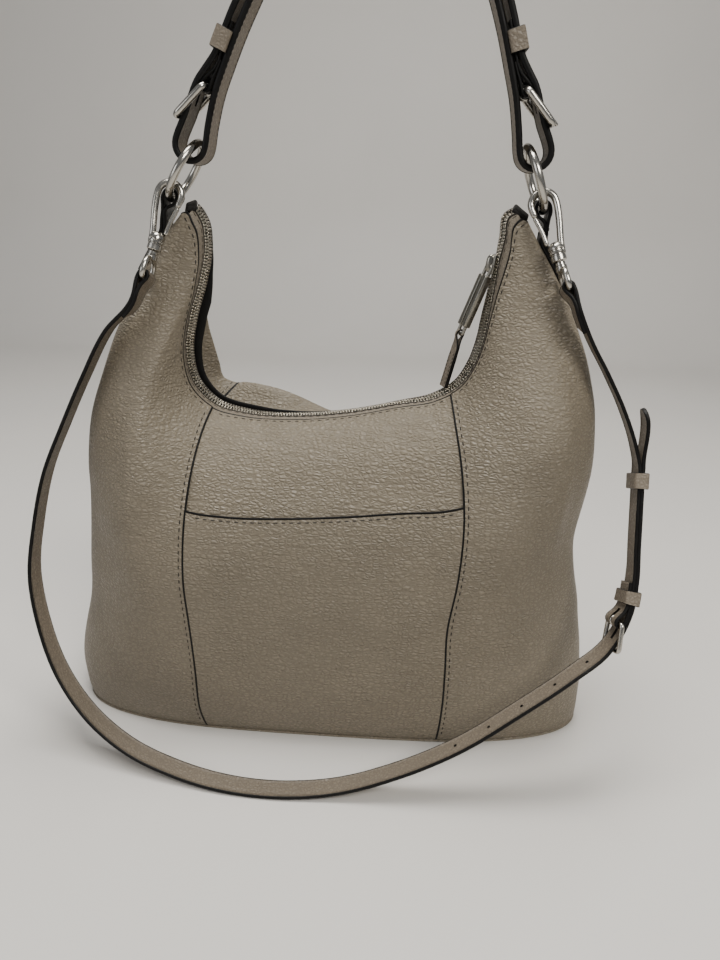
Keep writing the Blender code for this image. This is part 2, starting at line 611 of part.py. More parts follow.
# ---- crossbody strap ----------------------------------------------------------------------------------
hooks = []
for k, slant in enumerate(HOOK_SLANT):
    foot = np.array([RING_FOOT_X[k], 0, RING_FOOT_Z[k]])
    sign = 1 if k == 0 else -1
    up = np.array([sign * math.sin(RING_LEAN[k]), 0, math.cos(RING_LEAN[k])])
    rise = RING_R - math.sqrt(RING_R ** 2 - HOOK_Y ** 2)
    top = foot + up * rise + np.array([0, HOOK_Y, 6.4 * MM])
    top[2] = AXIS_Z - 6.2 * MM
    s, d = math.radians(slant), math.radians(HOOK_TIP)
    down = unit([math.sin(s), -math.sin(d), -math.cos(s) * math.cos(d)])
    w = unit(SY - down * down[1])
    centre = top + np.array([0, 0, -7 * MM])
    hooks.append(dict(down=down, w=w, x=np.cross(w, -down), top=centre - down * 7 * MM))
# the crossbody strap swings about the line through the tops of both hooks
CROSS_PIVOT = np.array([0, (hooks[0]["top"][1] + hooks[1]["top"][1]) / 2,
                        (hooks[0]["top"][2] + hooks[1]["top"][2]) / 2])


def in_hook(h, x, y, z):
    return h["top"] + h["x"] * x + h["w"] * y - h["down"] * z


EYE_FOOT = -57 * MM
BAR_X = 1.7 * MM
hang = CROSS_T / 2 + GAP + BAR_X
ends = []
for k, h in enumerate(hooks):
    bar_at = in_hook(h, 0, 0, EYE_FOOT)
    t = h["down"] if k == 0 else -h["down"]
    n = np.cross(h["w"], t)
    ends.append((bar_at, t, n))
n_r = 1.9 * MM + hang                     # the short strap lies just inside the long strap's line
start = ends[0][0] + ends[0][2] * hang
stop = ends[1][0] + ends[1][2] * n_r
run = [start, start + ends[0][1] * .014] + [np.array(q) for q in CROSS_RUN] \
    + [stop - ends[1][1] * .014, stop]
cross = Lay(run)
XL = cross.length


def nearest(lay, point):
    return float(lay.l[np.argmin(np.linalg.norm(lay.p - np.asarray(point), axis=1))])


X_HEEL = nearest(cross, (.1800, -.0710, .1140))
X_SLIDE = nearest(cross, (.1868, -.0405, .1960))
X_TIP = X_SLIDE + 42 * MM
left_eye = (stretch(25 * MM, 9 * MM, -1.9 * MM, step=.008) + stretch(9 * MM, 0, -1.9 * MM, -2 * hang, step=.003)[1:]
            + arc((0, -hang), hang, 270, 90, 9)[1:])
tail = stretch(0, X_SLIDE + 6 * MM, 0, step=.0125)[1:] \
    + stretch(X_SLIDE + 6 * MM, X_TIP, 0, 9.5 * MM, step=.006)[1:]
long_strap = node("crossbody_long_strap", *strip(cross, left_eye + tail, CROSS_HALF, CROSS_T), STRAP_RGB,
                  rough=.6, pivot=CROSS_PIVOT)
SLOT = 1.35 * MM
x_bar, x_pr = 1.5 * MM, .9 * MM
heel_n = -1.9 * MM - (CROSS_T / 2 + GAP + x_bar)
x_heel, x_far = (X_HEEL, heel_n), (X_HEEL - 15.5 * MM, CROSS_T / 2 + GAP + x_bar)
combine(long_strap, [lay_block(cross, X_HEEL - 11 * MM, X_HEEL + 3.5 * MM, -2 * MM, 2 * MM, SLOT)], "DIFFERENCE")
for k in range(5):
    l = X_HEEL - (32 + 24 * k) * MM
    hole = [[cross.at(l + 1.1 * MM * math.cos(a), n, 1.1 * MM * math.sin(a))
             for a in np.linspace(0, 2 * math.pi, 8, endpoint=False)] for n in (-2 * MM, 2 * MM)]
    combine(long_strap, [sweep(hole)], "DIFFERENCE")
x_r = x_bar + GAP + CROSS_T / 2
fold_line = (stretch(X_HEEL + 26 * MM, X_HEEL + 10 * MM, -3.8 * MM, step=.008)
             + stretch(X_HEEL + 10 * MM, X_HEEL, -3.8 * MM, heel_n - x_r, step=.0033)[1:]
             + arc(x_heel, x_r, 270, 90, 9)[1:]
             + stretch(X_HEEL, XL, -1.9 * MM, step=.0125)[1:]
             + arc((XL, -1.9 * MM - hang), hang, 90, -90, 9)[1:]
             + stretch(XL, XL - 9 * MM, -1.9 * MM - 2 * hang, -3.8 * MM, step=.003)[1:]
             + stretch(XL - 9 * MM, XL - 25 * MM, -3.8 * MM, step=.008)[1:])
short_strap = node("crossbody_short_strap", *strip(cross, fold_line, CROSS_HALF, CROSS_T), STRAP_RGB,
                   rough=.6, pivot=CROSS_PIVOT, parent=long_strap)
combine(short_strap, [lay_block(cross, X_HEEL - 6 * MM, X_HEEL + 8.5 * MM, -10 * MM, .5 * MM, 1.5 * MM)],
        "DIFFERENCE")
x_span = math.hypot(x_far[0] - x_heel[0], x_far[1] - x_heel[1])
xe = ((x_far[0] - x_heel[0]) / x_span, (x_far[1] - x_heel[1]) / x_span)
xf = (xe[1], -xe[0])
half = CROSS_HALF + .4 * MM + x_bar
pts = []
for a, b, c in ((1, 1, 0), (0, 1, 90), (0, -1, 180), (1, -1, 270)):
    for ang in np.linspace(c, c + 90, 4):
        r, k = math.radians(ang), 2.2 * MM
        along = (x_span - k if a else k) + k * math.cos(r)
        pts.append(cross.at(x_heel[0] + xe[0] * along, x_heel[1] + xe[1] * along, b * (half - k) + k * math.sin(r)))
node("crossbody_buckle", *wire(pts, x_bar, True), METAL_RGB, 1.0, .15, pivot=CROSS_PIVOT, parent=long_strap)
rr = x_bar + GAP + .2 * MM + x_pr
base = math.degrees(math.atan2(xf[1], xf[0]))
eye = arc(x_heel, rr, base - 285, base, 12)
if np.dot(np.subtract(eye[-1], eye[-2]), xe) < 0:
    eye = arc(x_heel, rr, base + 285, base, 12)
tip = [(x_heel[0] + xf[0] * rr + xe[0] * d, x_heel[1] + xf[1] * rr + xe[1] * d)
       for d in np.linspace(0, x_span + 1.8 * MM, 4)[1:]]
node("crossbody_prong", *wire([cross.at(a, b) for a, b in eye + tip], x_pr), METAL_RGB, 1.0, .15,
     pivot=cross.at(*x_heel), parent=long_strap)
node("crossbody_fixed_keeper", *band(cross, X_HEEL + 13 * MM, X_HEEL + 20 * MM, -4.9 * MM, 1.1 * MM,
                                     CROSS_HALF + .4 * MM, 1.1 * MM),
     STRAP_RGB, rough=.6, pivot=CROSS_PIVOT, parent=long_strap)
node("crossbody_sliding_keeper", *band(cross, X_SLIDE - 4 * MM, X_SLIDE + 4 * MM, -3.3 * MM, 1.3 * MM,
                                       CROSS_HALF + .4 * MM, 1.1 * MM),
     STRAP_RGB, rough=.6, pivot=cross.at(X_SLIDE), parent=long_strap)

for k, (h, name) in enumerate(zip(hooks, ("left", "right"))):
    side = 1 if k == 0 else -1          # the gate is on the side facing the bag
    # swivel eye
    eye_pts = []
    top_e, low_e, half_e = -46 * MM, EYE_FOOT, CROSS_HALF + .4 * MM + BAR_X
    for z, y in ((top_e, -2.2 * MM), (top_e - .8 * MM, -6.2 * MM), (top_e - 3.2 * MM, -8.8 * MM),
                 (top_e - 6 * MM, -half_e), (low_e + 1.6 * MM, -half_e), (low_e, -half_e + 1.4 * MM),
                 (low_e, half_e - 1.4 * MM), (low_e + 1.6 * MM, half_e), (top_e - 6 * MM, half_e),
                 (top_e - 3.2 * MM, 8.8 * MM), (top_e - .8 * MM, 6.2 * MM), (top_e, 2.2 * MM)):
        eye_pts.append(in_hook(h, 0, y, z))
    eye = node("hook_swivel_eye_" + name, *wire(eye_pts, BAR_X, True), METAL_RGB, 1.0, .15,
               pivot=CROSS_PIVOT, parent=long_strap)
    post = [[in_hook(h, r * math.cos(a), r * math.sin(a), z) for a in np.linspace(0, 2 * math.pi, 10, endpoint=False)]
            for z, r in ((top_e, 3.2 * MM), (-41.0 * MM, 3.2 * MM))]
    combine(eye, [sweep(post)], "UNION")
    # hook body: a tapered loop closing into its collar
    line = [(side * 6.6 * MM, -11.5 * MM)]
    line += [(side * x, z) for x, z in arc((0, -7 * MM), 7 * MM, 0, 180, 11)]
    line += [(-side * 6.6 * MM, -14 * MM), (-side * 5.2 * MM, -22 * MM), (-side * 3.6 * MM, -30 * MM),
             (-side * 3.0 * MM, -36 * MM)]
    hook = node("hook_" + name, *wire([in_hook(h, x, 0, z) for x, z in line], HOOK_WIRE), METAL_RGB, 1.0, .15,
                pivot=in_hook(h, 0, 0, -38 * MM), parent=long_strap)
    collar = [[in_hook(h, r * math.cos(a), r * math.sin(a) * (.8 if z > -33 * MM else 1), z)
               for a in np.linspace(0, 2 * math.pi, 12, endpoint=False)]
              for z, r in ((-40.7 * MM, 4.4 * MM), (-36 * MM, 4.4 * MM), (-34.4 * MM, 5.0 * MM),
                           (-31 * MM, 4.6 * MM))]
    combine(hook, [sweep(collar)], "UNION")
    g_r = 1.3 * MM
    gate_foot = (side * 4.3 * MM, -29.2 * MM)
    gate_line = [gate_foot, (side * 5.0 * MM, -22 * MM), (side * 6.3 * MM, -15.5 * MM), (side * 6.6 * MM, -14.0 * MM)]
    node("hook_gate_" + name, *wire([in_hook(h, x, 0, z) for x, z in gate_line], g_r), METAL_RGB, 1.0, .15,
         pivot=in_hook(h, gate_foot[0], 0, gate_foot[1]), parent=hook)

for _obj in bpy.data.objects:
    if "pivot" in _obj:
        del _obj["pivot"]
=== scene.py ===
"""Looks of the hobo bag: leather shell, zip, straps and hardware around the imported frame."""
import math
import bmesh
import bpy
import numpy as np
from mathutils import Matrix, Vector


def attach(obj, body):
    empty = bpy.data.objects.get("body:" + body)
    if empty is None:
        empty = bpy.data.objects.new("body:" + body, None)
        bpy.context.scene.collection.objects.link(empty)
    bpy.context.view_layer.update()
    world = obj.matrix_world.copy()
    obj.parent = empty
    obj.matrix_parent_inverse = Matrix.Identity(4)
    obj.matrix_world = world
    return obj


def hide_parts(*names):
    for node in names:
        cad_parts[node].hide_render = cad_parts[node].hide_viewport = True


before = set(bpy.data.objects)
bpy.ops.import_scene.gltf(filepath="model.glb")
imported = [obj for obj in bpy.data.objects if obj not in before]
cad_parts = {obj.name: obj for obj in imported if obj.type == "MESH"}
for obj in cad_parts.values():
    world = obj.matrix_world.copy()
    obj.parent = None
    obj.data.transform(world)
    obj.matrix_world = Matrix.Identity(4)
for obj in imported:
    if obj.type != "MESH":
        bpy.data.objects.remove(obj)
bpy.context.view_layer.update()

MM = 0.001
GAP = 0.3 * MM

# ---- bag body ------------------------------------------------------------------------------------
LEFT_SIDE = [(-.187, 0), (-.189, .030), (-.177, .085), (-.171, .140), (-.168, .185), (-.150, .249),
             (-.1245, .302), (-.1090, .326), (-.0955, .3430)]
RIGHT_SIDE = [(.180, 0), (.179, .035), (.1695, .095), (.161, .138), (.1645, .195), (.158, .248),
              (.1385, .295), (.1215, .323), (.1085, .3435)]
ZIP_LINE = [(-.0955, .3430), (-.0905, .3450), (-.0850, .3385), (-.0830, .3230), (-.0872, .3018),
            (-.0950, .2780), (-.0985, .2560), (-.0945, .2365), (-.0820, .2235), (-.0600, .2175),
            (-.0264, .2168), (.0069, .2207), (.0396, .2280), (.0620, .2335), (.0765, .2430),
            (.0845, .2570), (.0885, .2715), (.0905, .2865), (.0925, .3015), (.0945, .3165),
            (.0965, .3315), (.0985, .3450), (.1030, .3470), (.1085, .3435)]
SEAM_SHARE = (.328, .703)            # where the two vertical seams meet the zip, by share of its run
SEAM_FOOT = (-.0857, .0753)          # x of the two seams at the base
HALF_DEPTH, EDGE_DEPTH, PLAN_POWER = 66 * MM, 6.5 * MM, 2.75
LEATHER = 1.4 * MM
POCKET_TOP = .762                    # share of the panel's height
SEAM_GAP = .0009
PAINT = .8 * MM                      # painted edge, seen along the leather
STITCH_IN, STITCH_PITCH, STITCH_R = 2.6 * MM, 4.9 * MM, .40 * MM

# soft places in the leather: side (-1 front, 1 back), x, z, half sizes along and across, lean, rise (mm)
SLOUCH = [(-1, -.135, .215, .075, .016, 62, -2.6), (-1, -.110, .190, .080, .014, 55, 1.8),
          (-1, .118, .200, .070, .017, -66, -2.2), (-1, .000, .186, .080, .012, 3, -1.3),
          (-1, .010, .160, .090, .020, 2, 1.0), (-1, -.120, .070, .060, .020, 35, -1.6),
          (-1, .110, .060, .060, .020, -40, -1.5), (-1, .000, .040, .080, .025, 0, 1.2),
          (-1, -.150, .120, .050, .014, 80, -1.4), (-1, .140, .120, .050, .012, -80, -1.3),
          (1, .000, .160, .085, .020, 0, -2.0), (1, -.100, .120, .070, .018, 60, -1.8),
          (1, .110, .110, .070, .018, -50, 1.6), (1, .020, .070, .100, .020, -8, 1.5)]
# how far the back folds up behind the left corner: share of the zip's run, rise (mm)
FOLD_RISE = [(.10, 0), (.16, 11), (.22, 19), (.27, 17), (.31, 20), (.36, 25), (.42, 24), (.47, 15), (.53, 0)]
# along the zip (m from its left end): cut of the front leather below the crest (mm), lean of the band
# towards the front (degrees), and how far the back's black edge, edge paint and painted shade, stands up past
# the teeth (mm)
ZIP_DRAWN = .442
FRONT_CUT = [(0, 3.0), (.006, 5.0), (.012, 6.6), (.045, 7.2), (.085, 6.2), (.125, 5.2), (.150, 4.0),
             (.185, 1.4), (.270, 1.2), (.300, 3.2), (.325, 5.0), (.355, 5.8), (.385, 6.6), (.410, 9.0),
             (.425, 9.0), (.434, 6.0), (.442, 3.0)]
BACK_CUT = 1.2
BAND_LEAN = [(0, 26), (.02, 34), (.085, 40), (.130, 34), (.160, 14), (.19, 2), (.27, 2), (.300, 24),
             (.325, 42), (.360, 44), (.383, 30), (.400, 14), (.420, 14), (.442, 20)]
BACK_STAND = [(0, -1.2), (.035, -1), (.050, 1.2), (.068, 4.6), (.090, 4.4), (.117, 3.2), (.140, 2.3),
              (.175, 2.2), (.205, .1), (.230, -1), (.442, -1.5)]

# ---- hardware ------------------------------------------------------------------------------------
RING_R, RING_WIRE = 18 * MM, 2.4 * MM
RING_FOOT_X, RING_LEAN = (-.1035, .1180), (math.radians(31), math.radians(20))
AXIS_Z = .3644                       # both rings are centred on the handle's axis
RING_FOOT_Z = [AXIS_Z - RING_R * math.cos(lean) for lean in RING_LEAN]
TAB_HALF = 7.5 * MM
HOOK_Y, HOOK_WIRE, HOOK_SLANT, HOOK_TIP = -12 * MM, 2.0 * MM, (-15.0, 19.0), 17.0

# ---- straps --------------------------------------------------------------------------------------
STRAP_T, STRAP_HALF = 3.0 * MM, 10.5 * MM
LOOP_HALF = 8.7 * MM                 # half the spread of the strap's two legs at the ring
LOOP_OUT = (3.3 * MM, 3.8 * MM)       # how far each loop's middle lies outside the ring's top
LOOP_FOOT = AXIS_Z + 14.0 * MM
LOOP_TILT = (math.radians(12), math.radians(9))
ARCH = [(-.0725, .4050), (-.0655, .4215), (-.0572, .4390), (-.0475, .4570), (-.0365, .4790),
        (-.0245, .5040), (-.0085, .5300), (.0165, .5450), (.0410, .5320), (.0580, .5060),
        (.0695, .4810), (.0790, .4580), (.0860, .4390), (.0915, .4210), (.0958, .4060)]
CROSS_T, CROSS_HALF = 1.6 * MM, 7.5 * MM
CROSS_RUN = [(-.1380, -.0310, .2740), (-.1550, -.0325, .2450), (-.1700, -.0345, .2156),
             (-.1848, -.0380, .1827),
             (-.1926, -.0440, .1498), (-.1959, -.0520, .1169), (-.1892, -.0620, .0852),
             (-.1749, -.0730, .0538), (-.1531, -.0830, .0290), (-.1269, -.0920, .0140),
             (-.0951, -.1000, .0058), (-.0631, -.1060, .0024), (-.0305, -.1080, .0016),
             (.0072, -.1060, .0048), (.0506, -.1030, .0200), (.0866, -.0990, .0390),
             (.1213, -.0930, .0640), (.1510, -.0850, .0850), (.1720, -.0765, .1010),
             (.1830, -.0690, .1210), (.1868, -.0600, .1420), (.1868, -.0535, .1600),
             (.1868, -.0470, .1780), (.1868, -.0405, .1960), (.1866, -.0369, .2060),
             (.1840, -.0345, .2160), (.1745, -.0325, .2380), (.1620, -.0310, .2600), (.1500, -.0300, .2790)]
SY = np.array([0, 1.0, 0])


# ---- curves --------------------------------------------------------------------------------------
def spline(points, per=14):
    """Smooth curve through the points, paced by the distance between them."""
    p = np.array(points, float)
    d = np.maximum(np.linalg.norm(np.diff(p, axis=0), axis=1), 1e-9)[:, None]
    rate = np.diff(p, axis=0) / d
    middle = (rate[:-1] * d[1:] + rate[1:] * d[:-1]) / (d[1:] + d[:-1])
    m = np.vstack([rate[:1], middle, rate[-1:]])
    out = []
    for i in range(len(d)):
        for s in np.arange(per) / per:
            out.append((2 * s ** 3 - 3 * s * s + 1) * p[i] + (s ** 3 - 2 * s * s + s) * d[i] * m[i]
                       + (3 * s * s - 2 * s ** 3) * p[i + 1] + (s ** 3 - s * s) * d[i] * m[i + 1])
    return np.array(out + [p[-1]])


def run_of(p):
    return np.concatenate([[0], np.cumsum(np.linalg.norm(np.diff(p, axis=0), axis=1))])


def resample(p, step):
    """Points a fixed step apart along a line of points."""
    p = np.asarray(p, float)
    l = run_of(p)
    count = max(2, int(round(l[-1] / step)) + 1)
    at = np.linspace(0, l[-1], count)
    return np.stack([np.interp(at, l, p[:, k]) for k in range(p.shape[1])], -1)


def ease(x):
    x = np.clip(x, 0, 1)
    return x * x * (3 - 2 * x)


def unit(v):
    v = np.asarray(v, float)
    return v / np.maximum(np.linalg.norm(v, axis=-1, keepdims=True), 1e-12)


LEFT, RIGHT, ZIP = spline(LEFT_SIDE), spline(RIGHT_SIDE), spline(ZIP_LINE)
ZIP_RUN = run_of(ZIP)
ZIP_LEN = ZIP_RUN[-1]


def zip_at(share):
    a = np.clip(share, 0, 1) * ZIP_LEN
    return np.interp(a, ZIP_RUN, ZIP[:, 0]), np.interp(a, ZIP_RUN, ZIP[:, 1])


def side_x(curve, z):
    return np.interp(z, curve[:, 1], curve[:, 0])


# ---- body surface --------------------------------------------------------------------------------
def skin(phi, t):
    """Point of the outer surface: phi 0..pi crosses the front from left to right, t is foot to zip."""
    phi, t = np.broadcast_arrays(np.asarray(phi, float), np.asarray(t, float))
    c = np.cos(phi)
    u = -np.sign(c) * np.abs(c) ** (2 / PLAN_POWER)
    s = (u + 1) / 2
    zx, zz = zip_at(s)
    foot = np.interp(s, [0, SEAM_SHARE[0], SEAM_SHARE[1], 1],
                     [LEFT_SIDE[0][0], SEAM_FOOT[0], SEAM_FOOT[1], RIGHT_SIDE[0][0]])
    x = (1 - t) * foot + t * zx
    for curve, weight in ((LEFT, (1 - s) ** 3), (RIGHT, s ** 3)):
        low, high = curve[0], curve[-1]
        x = x + weight * (side_x(curve, t * high[1]) - (1 - t) * low[0] - t * high[0])
    z = t * zz
    q = np.clip((t - .37) / .63, 0, 1)
    rise = np.clip((.37 - t) / .37, 0, 1)
    profile = np.where(t > .37, (1 - q ** 2.6) ** .62, 1 - .17 * rise ** 2.5)
    power = PLAN_POWER + 4 * t ** 4
    plan = np.maximum(1 - np.abs(u) ** power, 0) ** (1 / power)
    rim = np.maximum(1 - np.abs(u) ** 12, 0) ** (1 / 12)
    taper = 1 - .80 * ease((z - .205) / .135)
    depth = EDGE_DEPTH * rim * t ** 3 + HALF_DEPTH * profile * taper * plan * (1 - .06 * t ** 3)
    return np.stack([x, -np.sign(np.sin(phi) + 1e-12) * depth, z], -1)


def skin_normal(phi, t):
    h = 2e-3
    phi, t = np.broadcast_arrays(np.asarray(phi, float), np.asarray(t, float))
    a = skin(phi + h, t) - skin(phi - h, t)
    b = skin(phi, np.clip(t + h, 0, 1)) - skin(phi, np.clip(t - h, 0, 1))
    return unit(np.cross(a, b))


def phi_of(share):
    u = 2 * np.asarray(share, float) - 1
    return np.arccos(np.clip(-np.sign(u) * np.abs(u) ** (PLAN_POWER / 2), -1, 1))


def slouch(side, x, z, t):
    """How far the soft leather stands off the plain form, fading out at the zip and the base."""
    out = .35 * np.sin(61 * x + 23 * z + side) * np.sin(47 * z - 19 * x + 2) \
        + .22 * np.sin(140 * x - 60 * z + 1 + side) * np.sin(118 * z + 35 * x)
    for which, cx, cz, long, wide, lean, high in SLOUCH:
        if which == side:
            a = math.radians(lean)
            along = (x - cx) * math.cos(a) + (z - cz) * math.sin(a)
            across = -(x - cx) * math.sin(a) + (z - cz) * math.cos(a)
            out = out + high * np.exp(-(along / long) ** 2 - (across / wide) ** 2)
    return out * MM * ease((1 - t) / .13) * ease(t / .10)


def fold(share, t):
    """How far the back stands up behind the left corner of the opening, off the zip's line."""
    at, high = np.array(FOLD_RISE).T
    along = sum(np.interp(share + d, at, high) for d in (-.02, -.01, 0, .01, .02)) / 5
    return MM * along * ease((1 - t) / .055) * (1 - ease((.955 - t) / .22))


def hide(side, share, t, lift=0.0):
    """(points, normals) on the leather of the front (-1) or back (1), at shares along and heights up."""
    share, t = np.broadcast_arrays(np.asarray(share, float), np.asarray(t, float))
    phi = phi_of(share)
    p, n = skin(phi, t), skin_normal(phi, t)
    p = p + n * (slouch(side, p[..., 0], p[..., 2], t) + lift)[..., None]
    p[..., 1] = np.minimum(p[..., 1], -.2 * MM)
    if side > 0:
        (x0, z0), (x1, z1) = zip_at(share - .006), zip_at(share + .006)
        off = unit(np.stack([z0 - z1, 0 * x0, x1 - x0], -1))
        p = p + off * fold(share, t)[..., None]
    flip = np.array([1, -side, 1.0])
    return p * flip, n * flip


def pocket_line(side, share):
    return POCKET_TOP - .014 * ((share - .515) / .19) ** 2


def centre_recess(t):
    return -(.6 + 1.1 * (1 - ease((t - POCKET_TOP - .01) / .10))) * MM


# ---- mesh helpers --------------------------------------------------------------------------------
def grid_faces(rows, cols, wrap_rows=False, wrap_cols=False):
    i = np.arange(rows if wrap_rows else rows - 1)[:, None]
    j = np.arange(cols if wrap_cols else cols - 1)[None, :]
    i2, j2 = (i + 1) % rows, (j + 1) % cols
    return np.stack([i * cols + j, i2 * cols + j, i2 * cols + j2, i * cols + j2], -1).reshape(-1, 4)


def sheet_of(outer, inner):
    """Closed sheet between two matching grids of points."""
    rows, cols = outer.shape[:2]
    k = rows * cols
    faces = [grid_faces(rows, cols), grid_faces(rows, cols)[:, ::-1] + k]
    rim = ([(i, 0) for i in range(rows)] + [(rows - 1, j) for j in range(1, cols)]
           + [(i, cols - 1) for i in range(rows - 2, -1, -1)] + [(0, j) for j in range(cols - 2, 0, -1)])
    ids = np.array([i * cols + j for i, j in rim])
    nxt = np.roll(ids, -1)
    faces.append(np.stack([nxt, ids, ids + k, nxt + k], -1))
    return np.vstack([outer.reshape(-1, 3), inner.reshape(-1, 3)]), np.vstack(faces)


def sweep(sections, closed=False):
    """Body through matching section outlines, capped unless it closes on itself."""
    s = np.asarray(sections, float)
    rows, cols = s.shape[:2]
    faces = [tuple(f) for f in grid_faces(rows, cols, closed, True)]
    if not closed:
        faces += [tuple(range(cols)), tuple((rows - 1) * cols + j for j in range(cols))[::-1]]
    return s.reshape(-1, 3), faces


def tangents(p, closed=False):
    return unit(np.roll(p, -1, 0) - np.roll(p, 1, 0)) if closed else unit(np.gradient(p, axis=0))


def wire(points, radius, closed=False, sides=14):
    """Round bar along a line of points, with rounded ends."""
    p = np.asarray(points, float)
    r = np.broadcast_to(np.asarray(radius, float), len(p)).copy()
    if not closed:
        tan = tangents(p)
        a, b = [], []
        for k in (.98, .8, .45):
            a.append((p[0] - tan[0] * r[0] * k, r[0] * math.sqrt(1 - k * k)))
            b.append((p[-1] + tan[-1] * r[-1] * k, r[-1] * math.sqrt(1 - k * k)))
        p = np.vstack([[q for q, _ in a], p, [q for q, _ in b[::-1]]])
        r = np.concatenate([[q for _, q in a], r, [q for _, q in b[::-1]]])
    tan = tangents(p, closed)
    plane = np.linalg.svd(p - p.mean(0))[2][2]
    a = unit(plane - tan * (tan @ plane)[:, None])
    b = np.cross(tan, a)
    w = 2 * math.pi * (np.arange(sides) + .5) / sides
    round_ = np.cos(w)[:, None] * a[:, None] + np.sin(w)[:, None] * b[:, None]
    return sweep(p[:, None] + r[:, None, None] * round_, closed)


def lathe(base, axis, across, profile, sides=28):
    """Turned body: profile holds (distance along the axis, radius)."""
    axis, a = unit(axis), unit(across)
    b = np.cross(axis, a)
    w = 2 * math.pi * np.arange(sides) / sides
    round_ = [math.cos(q) * a + math.sin(q) * b for q in w]
    return sweep([[base + axis * h + r * q for q in round_] for h, r in profile])


def rounded_box(place, lo, hi, radius, steps=3):
    """Box with rounded edges, given in mm; place turns its own coordinates into the bag's frame."""
    bm = bmesh.new()
    bmesh.ops.create_cube(bm, size=1)
    for v in bm.verts:
        v.co = [(lo[k] + (v.co[k] + .5) * (hi[k] - lo[k])) * MM for k in range(3)]
    bmesh.ops.bevel(bm, geom=bm.edges[:], offset=radius * MM, segments=steps, affect="EDGES", profile=.5)
    verts = [place(*v.co) for v in bm.verts]
    faces = [tuple(v.index for v in f.verts) for f in bm.faces]
    bm.free()
    return np.array(verts), faces


def arc(centre, radius, start, end, count):
    return [(centre[0] + radius * math.cos(math.radians(a)), centre[1] + radius * math.sin(math.radians(a)))
            for a in np.linspace(start, end, count)]


def beads(points, normals, pitch, length, radius, sides=6):
    """A run of separate stitches lying on a line, each a short thread that dips at both ends."""
    p = np.asarray(points, float)
    l = run_of(p)
    n = np.asarray(normals, float)
    count = max(1, int(l[-1] / pitch))
    mid = (np.arange(count) + .5) * l[-1] / count
    stations = np.array([-.5, -.42, -.2, .2, .42, .5])
    at = np.clip(mid[:, None] + stations[None, :] * length, 0, l[-1])
    pos = np.stack([np.interp(at, l, p[:, k]) for k in range(3)], -1)
    nor = unit(np.stack([np.interp(at, l, n[:, k]) for k in range(3)], -1))
    tan = unit(np.stack([np.interp(mid, l, tangents(p)[:, k]) for k in range(3)], -1))[:, None, :]
    side = unit(np.cross(nor, tan))
    dip = np.array([-1.1, -.35, .0, .0, -.35, -1.1]) * radius
    fat = np.array([.35, .8, 1.0, 1.0, .8, .35]) * radius
    w = 2 * math.pi * np.arange(sides) / sides
    around = np.cos(w)[:, None] * side[:, :, None, :] + .8 * np.sin(w)[:, None] * nor[:, :, None, :]
    ring = (pos + nor * dip[None, :, None])[:, :, None, :] + fat[None, :, None, None] * around
    verts = ring.reshape(-1, 3)
    k = len(stations) * sides
    one = grid_faces(len(stations), sides, False, True)
    faces = (one[None] + (np.arange(count) * k)[:, None, None]).reshape(-1, 4)
    return verts, faces


def facing_out(verts, faces):
    """The same faces, turned so that the volume they close is positive."""
    fan = np.array([(f[0], f[i], f[i + 1]) for f in faces for i in range(1, len(f) - 1)])
    volume = np.einsum("ij,ij->", verts[fan[:, 0]], np.cross(verts[fan[:, 1]], verts[fan[:, 2]]))
    return [tuple(f)[::-1] if volume < 0 else tuple(f) for f in faces]


def link(name, mesh):
    obj = bpy.data.objects.new(name, mesh)
    bpy.context.scene.collection.objects.link(obj)
    return obj


def piece(name, parts, body, nodes=(), sharp=38):
    """One visible piece: parts are (points, faces, material), and it stands for the named CAD nodes."""
    mats, verts, faces, index, base = [], [], [], [], 0
    for v, f, mat in parts:
        if mat not in mats:
            mats.append(mat)
        v = np.asarray(v, float)
        f = np.array(f).tolist() if isinstance(f, np.ndarray) else [tuple(int(i) for i in q) for q in f]
        faces += [tuple(i + base for i in q) for q in facing_out(v, f)]
        index += [mats.index(mat)] * len(f)
        verts.append(v)
        base += len(v)
    mesh = bpy.data.meshes.new(name)
    mesh.from_pydata(np.vstack(verts).tolist(), [], faces)
    mesh.polygons.foreach_set("material_index", index)
    mesh.polygons.foreach_set("use_smooth", [True] * len(faces))
    for mat in mats:
        mesh.materials.append(mat)
    mesh.update()
    mesh.set_sharp_from_angle(angle=math.radians(sharp))
    obj = link(name, mesh)
    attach(obj, body)
    if nodes:
        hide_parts(*nodes)
    return obj


def cut(obj, verts, faces):
    """Cut one plain solid out of a piece, painting the cut."""
    verts = np.asarray(verts, float)
    mesh = bpy.data.meshes.new("tool")
    mesh.from_pydata(verts.tolist(), [], facing_out(verts, faces))
    mesh.materials.append(INK)
    tool = link("tool", mesh)
    mod = obj.modifiers.new("cut", "BOOLEAN")
    mod.operation, mod.solver, mod.object = "DIFFERENCE", "EXACT", tool
    mod.material_mode = "TRANSFER"
    bpy.context.view_layer.update()
    solved = bpy.data.meshes.new_from_object(obj.evaluated_get(bpy.context.evaluated_depsgraph_get()))
    obj.modifiers.clear()
    old, obj.data = obj.data, solved
    solved.name = obj.name
    bpy.data.meshes.remove(old)
    bpy.data.objects.remove(tool, do_unlink=True)


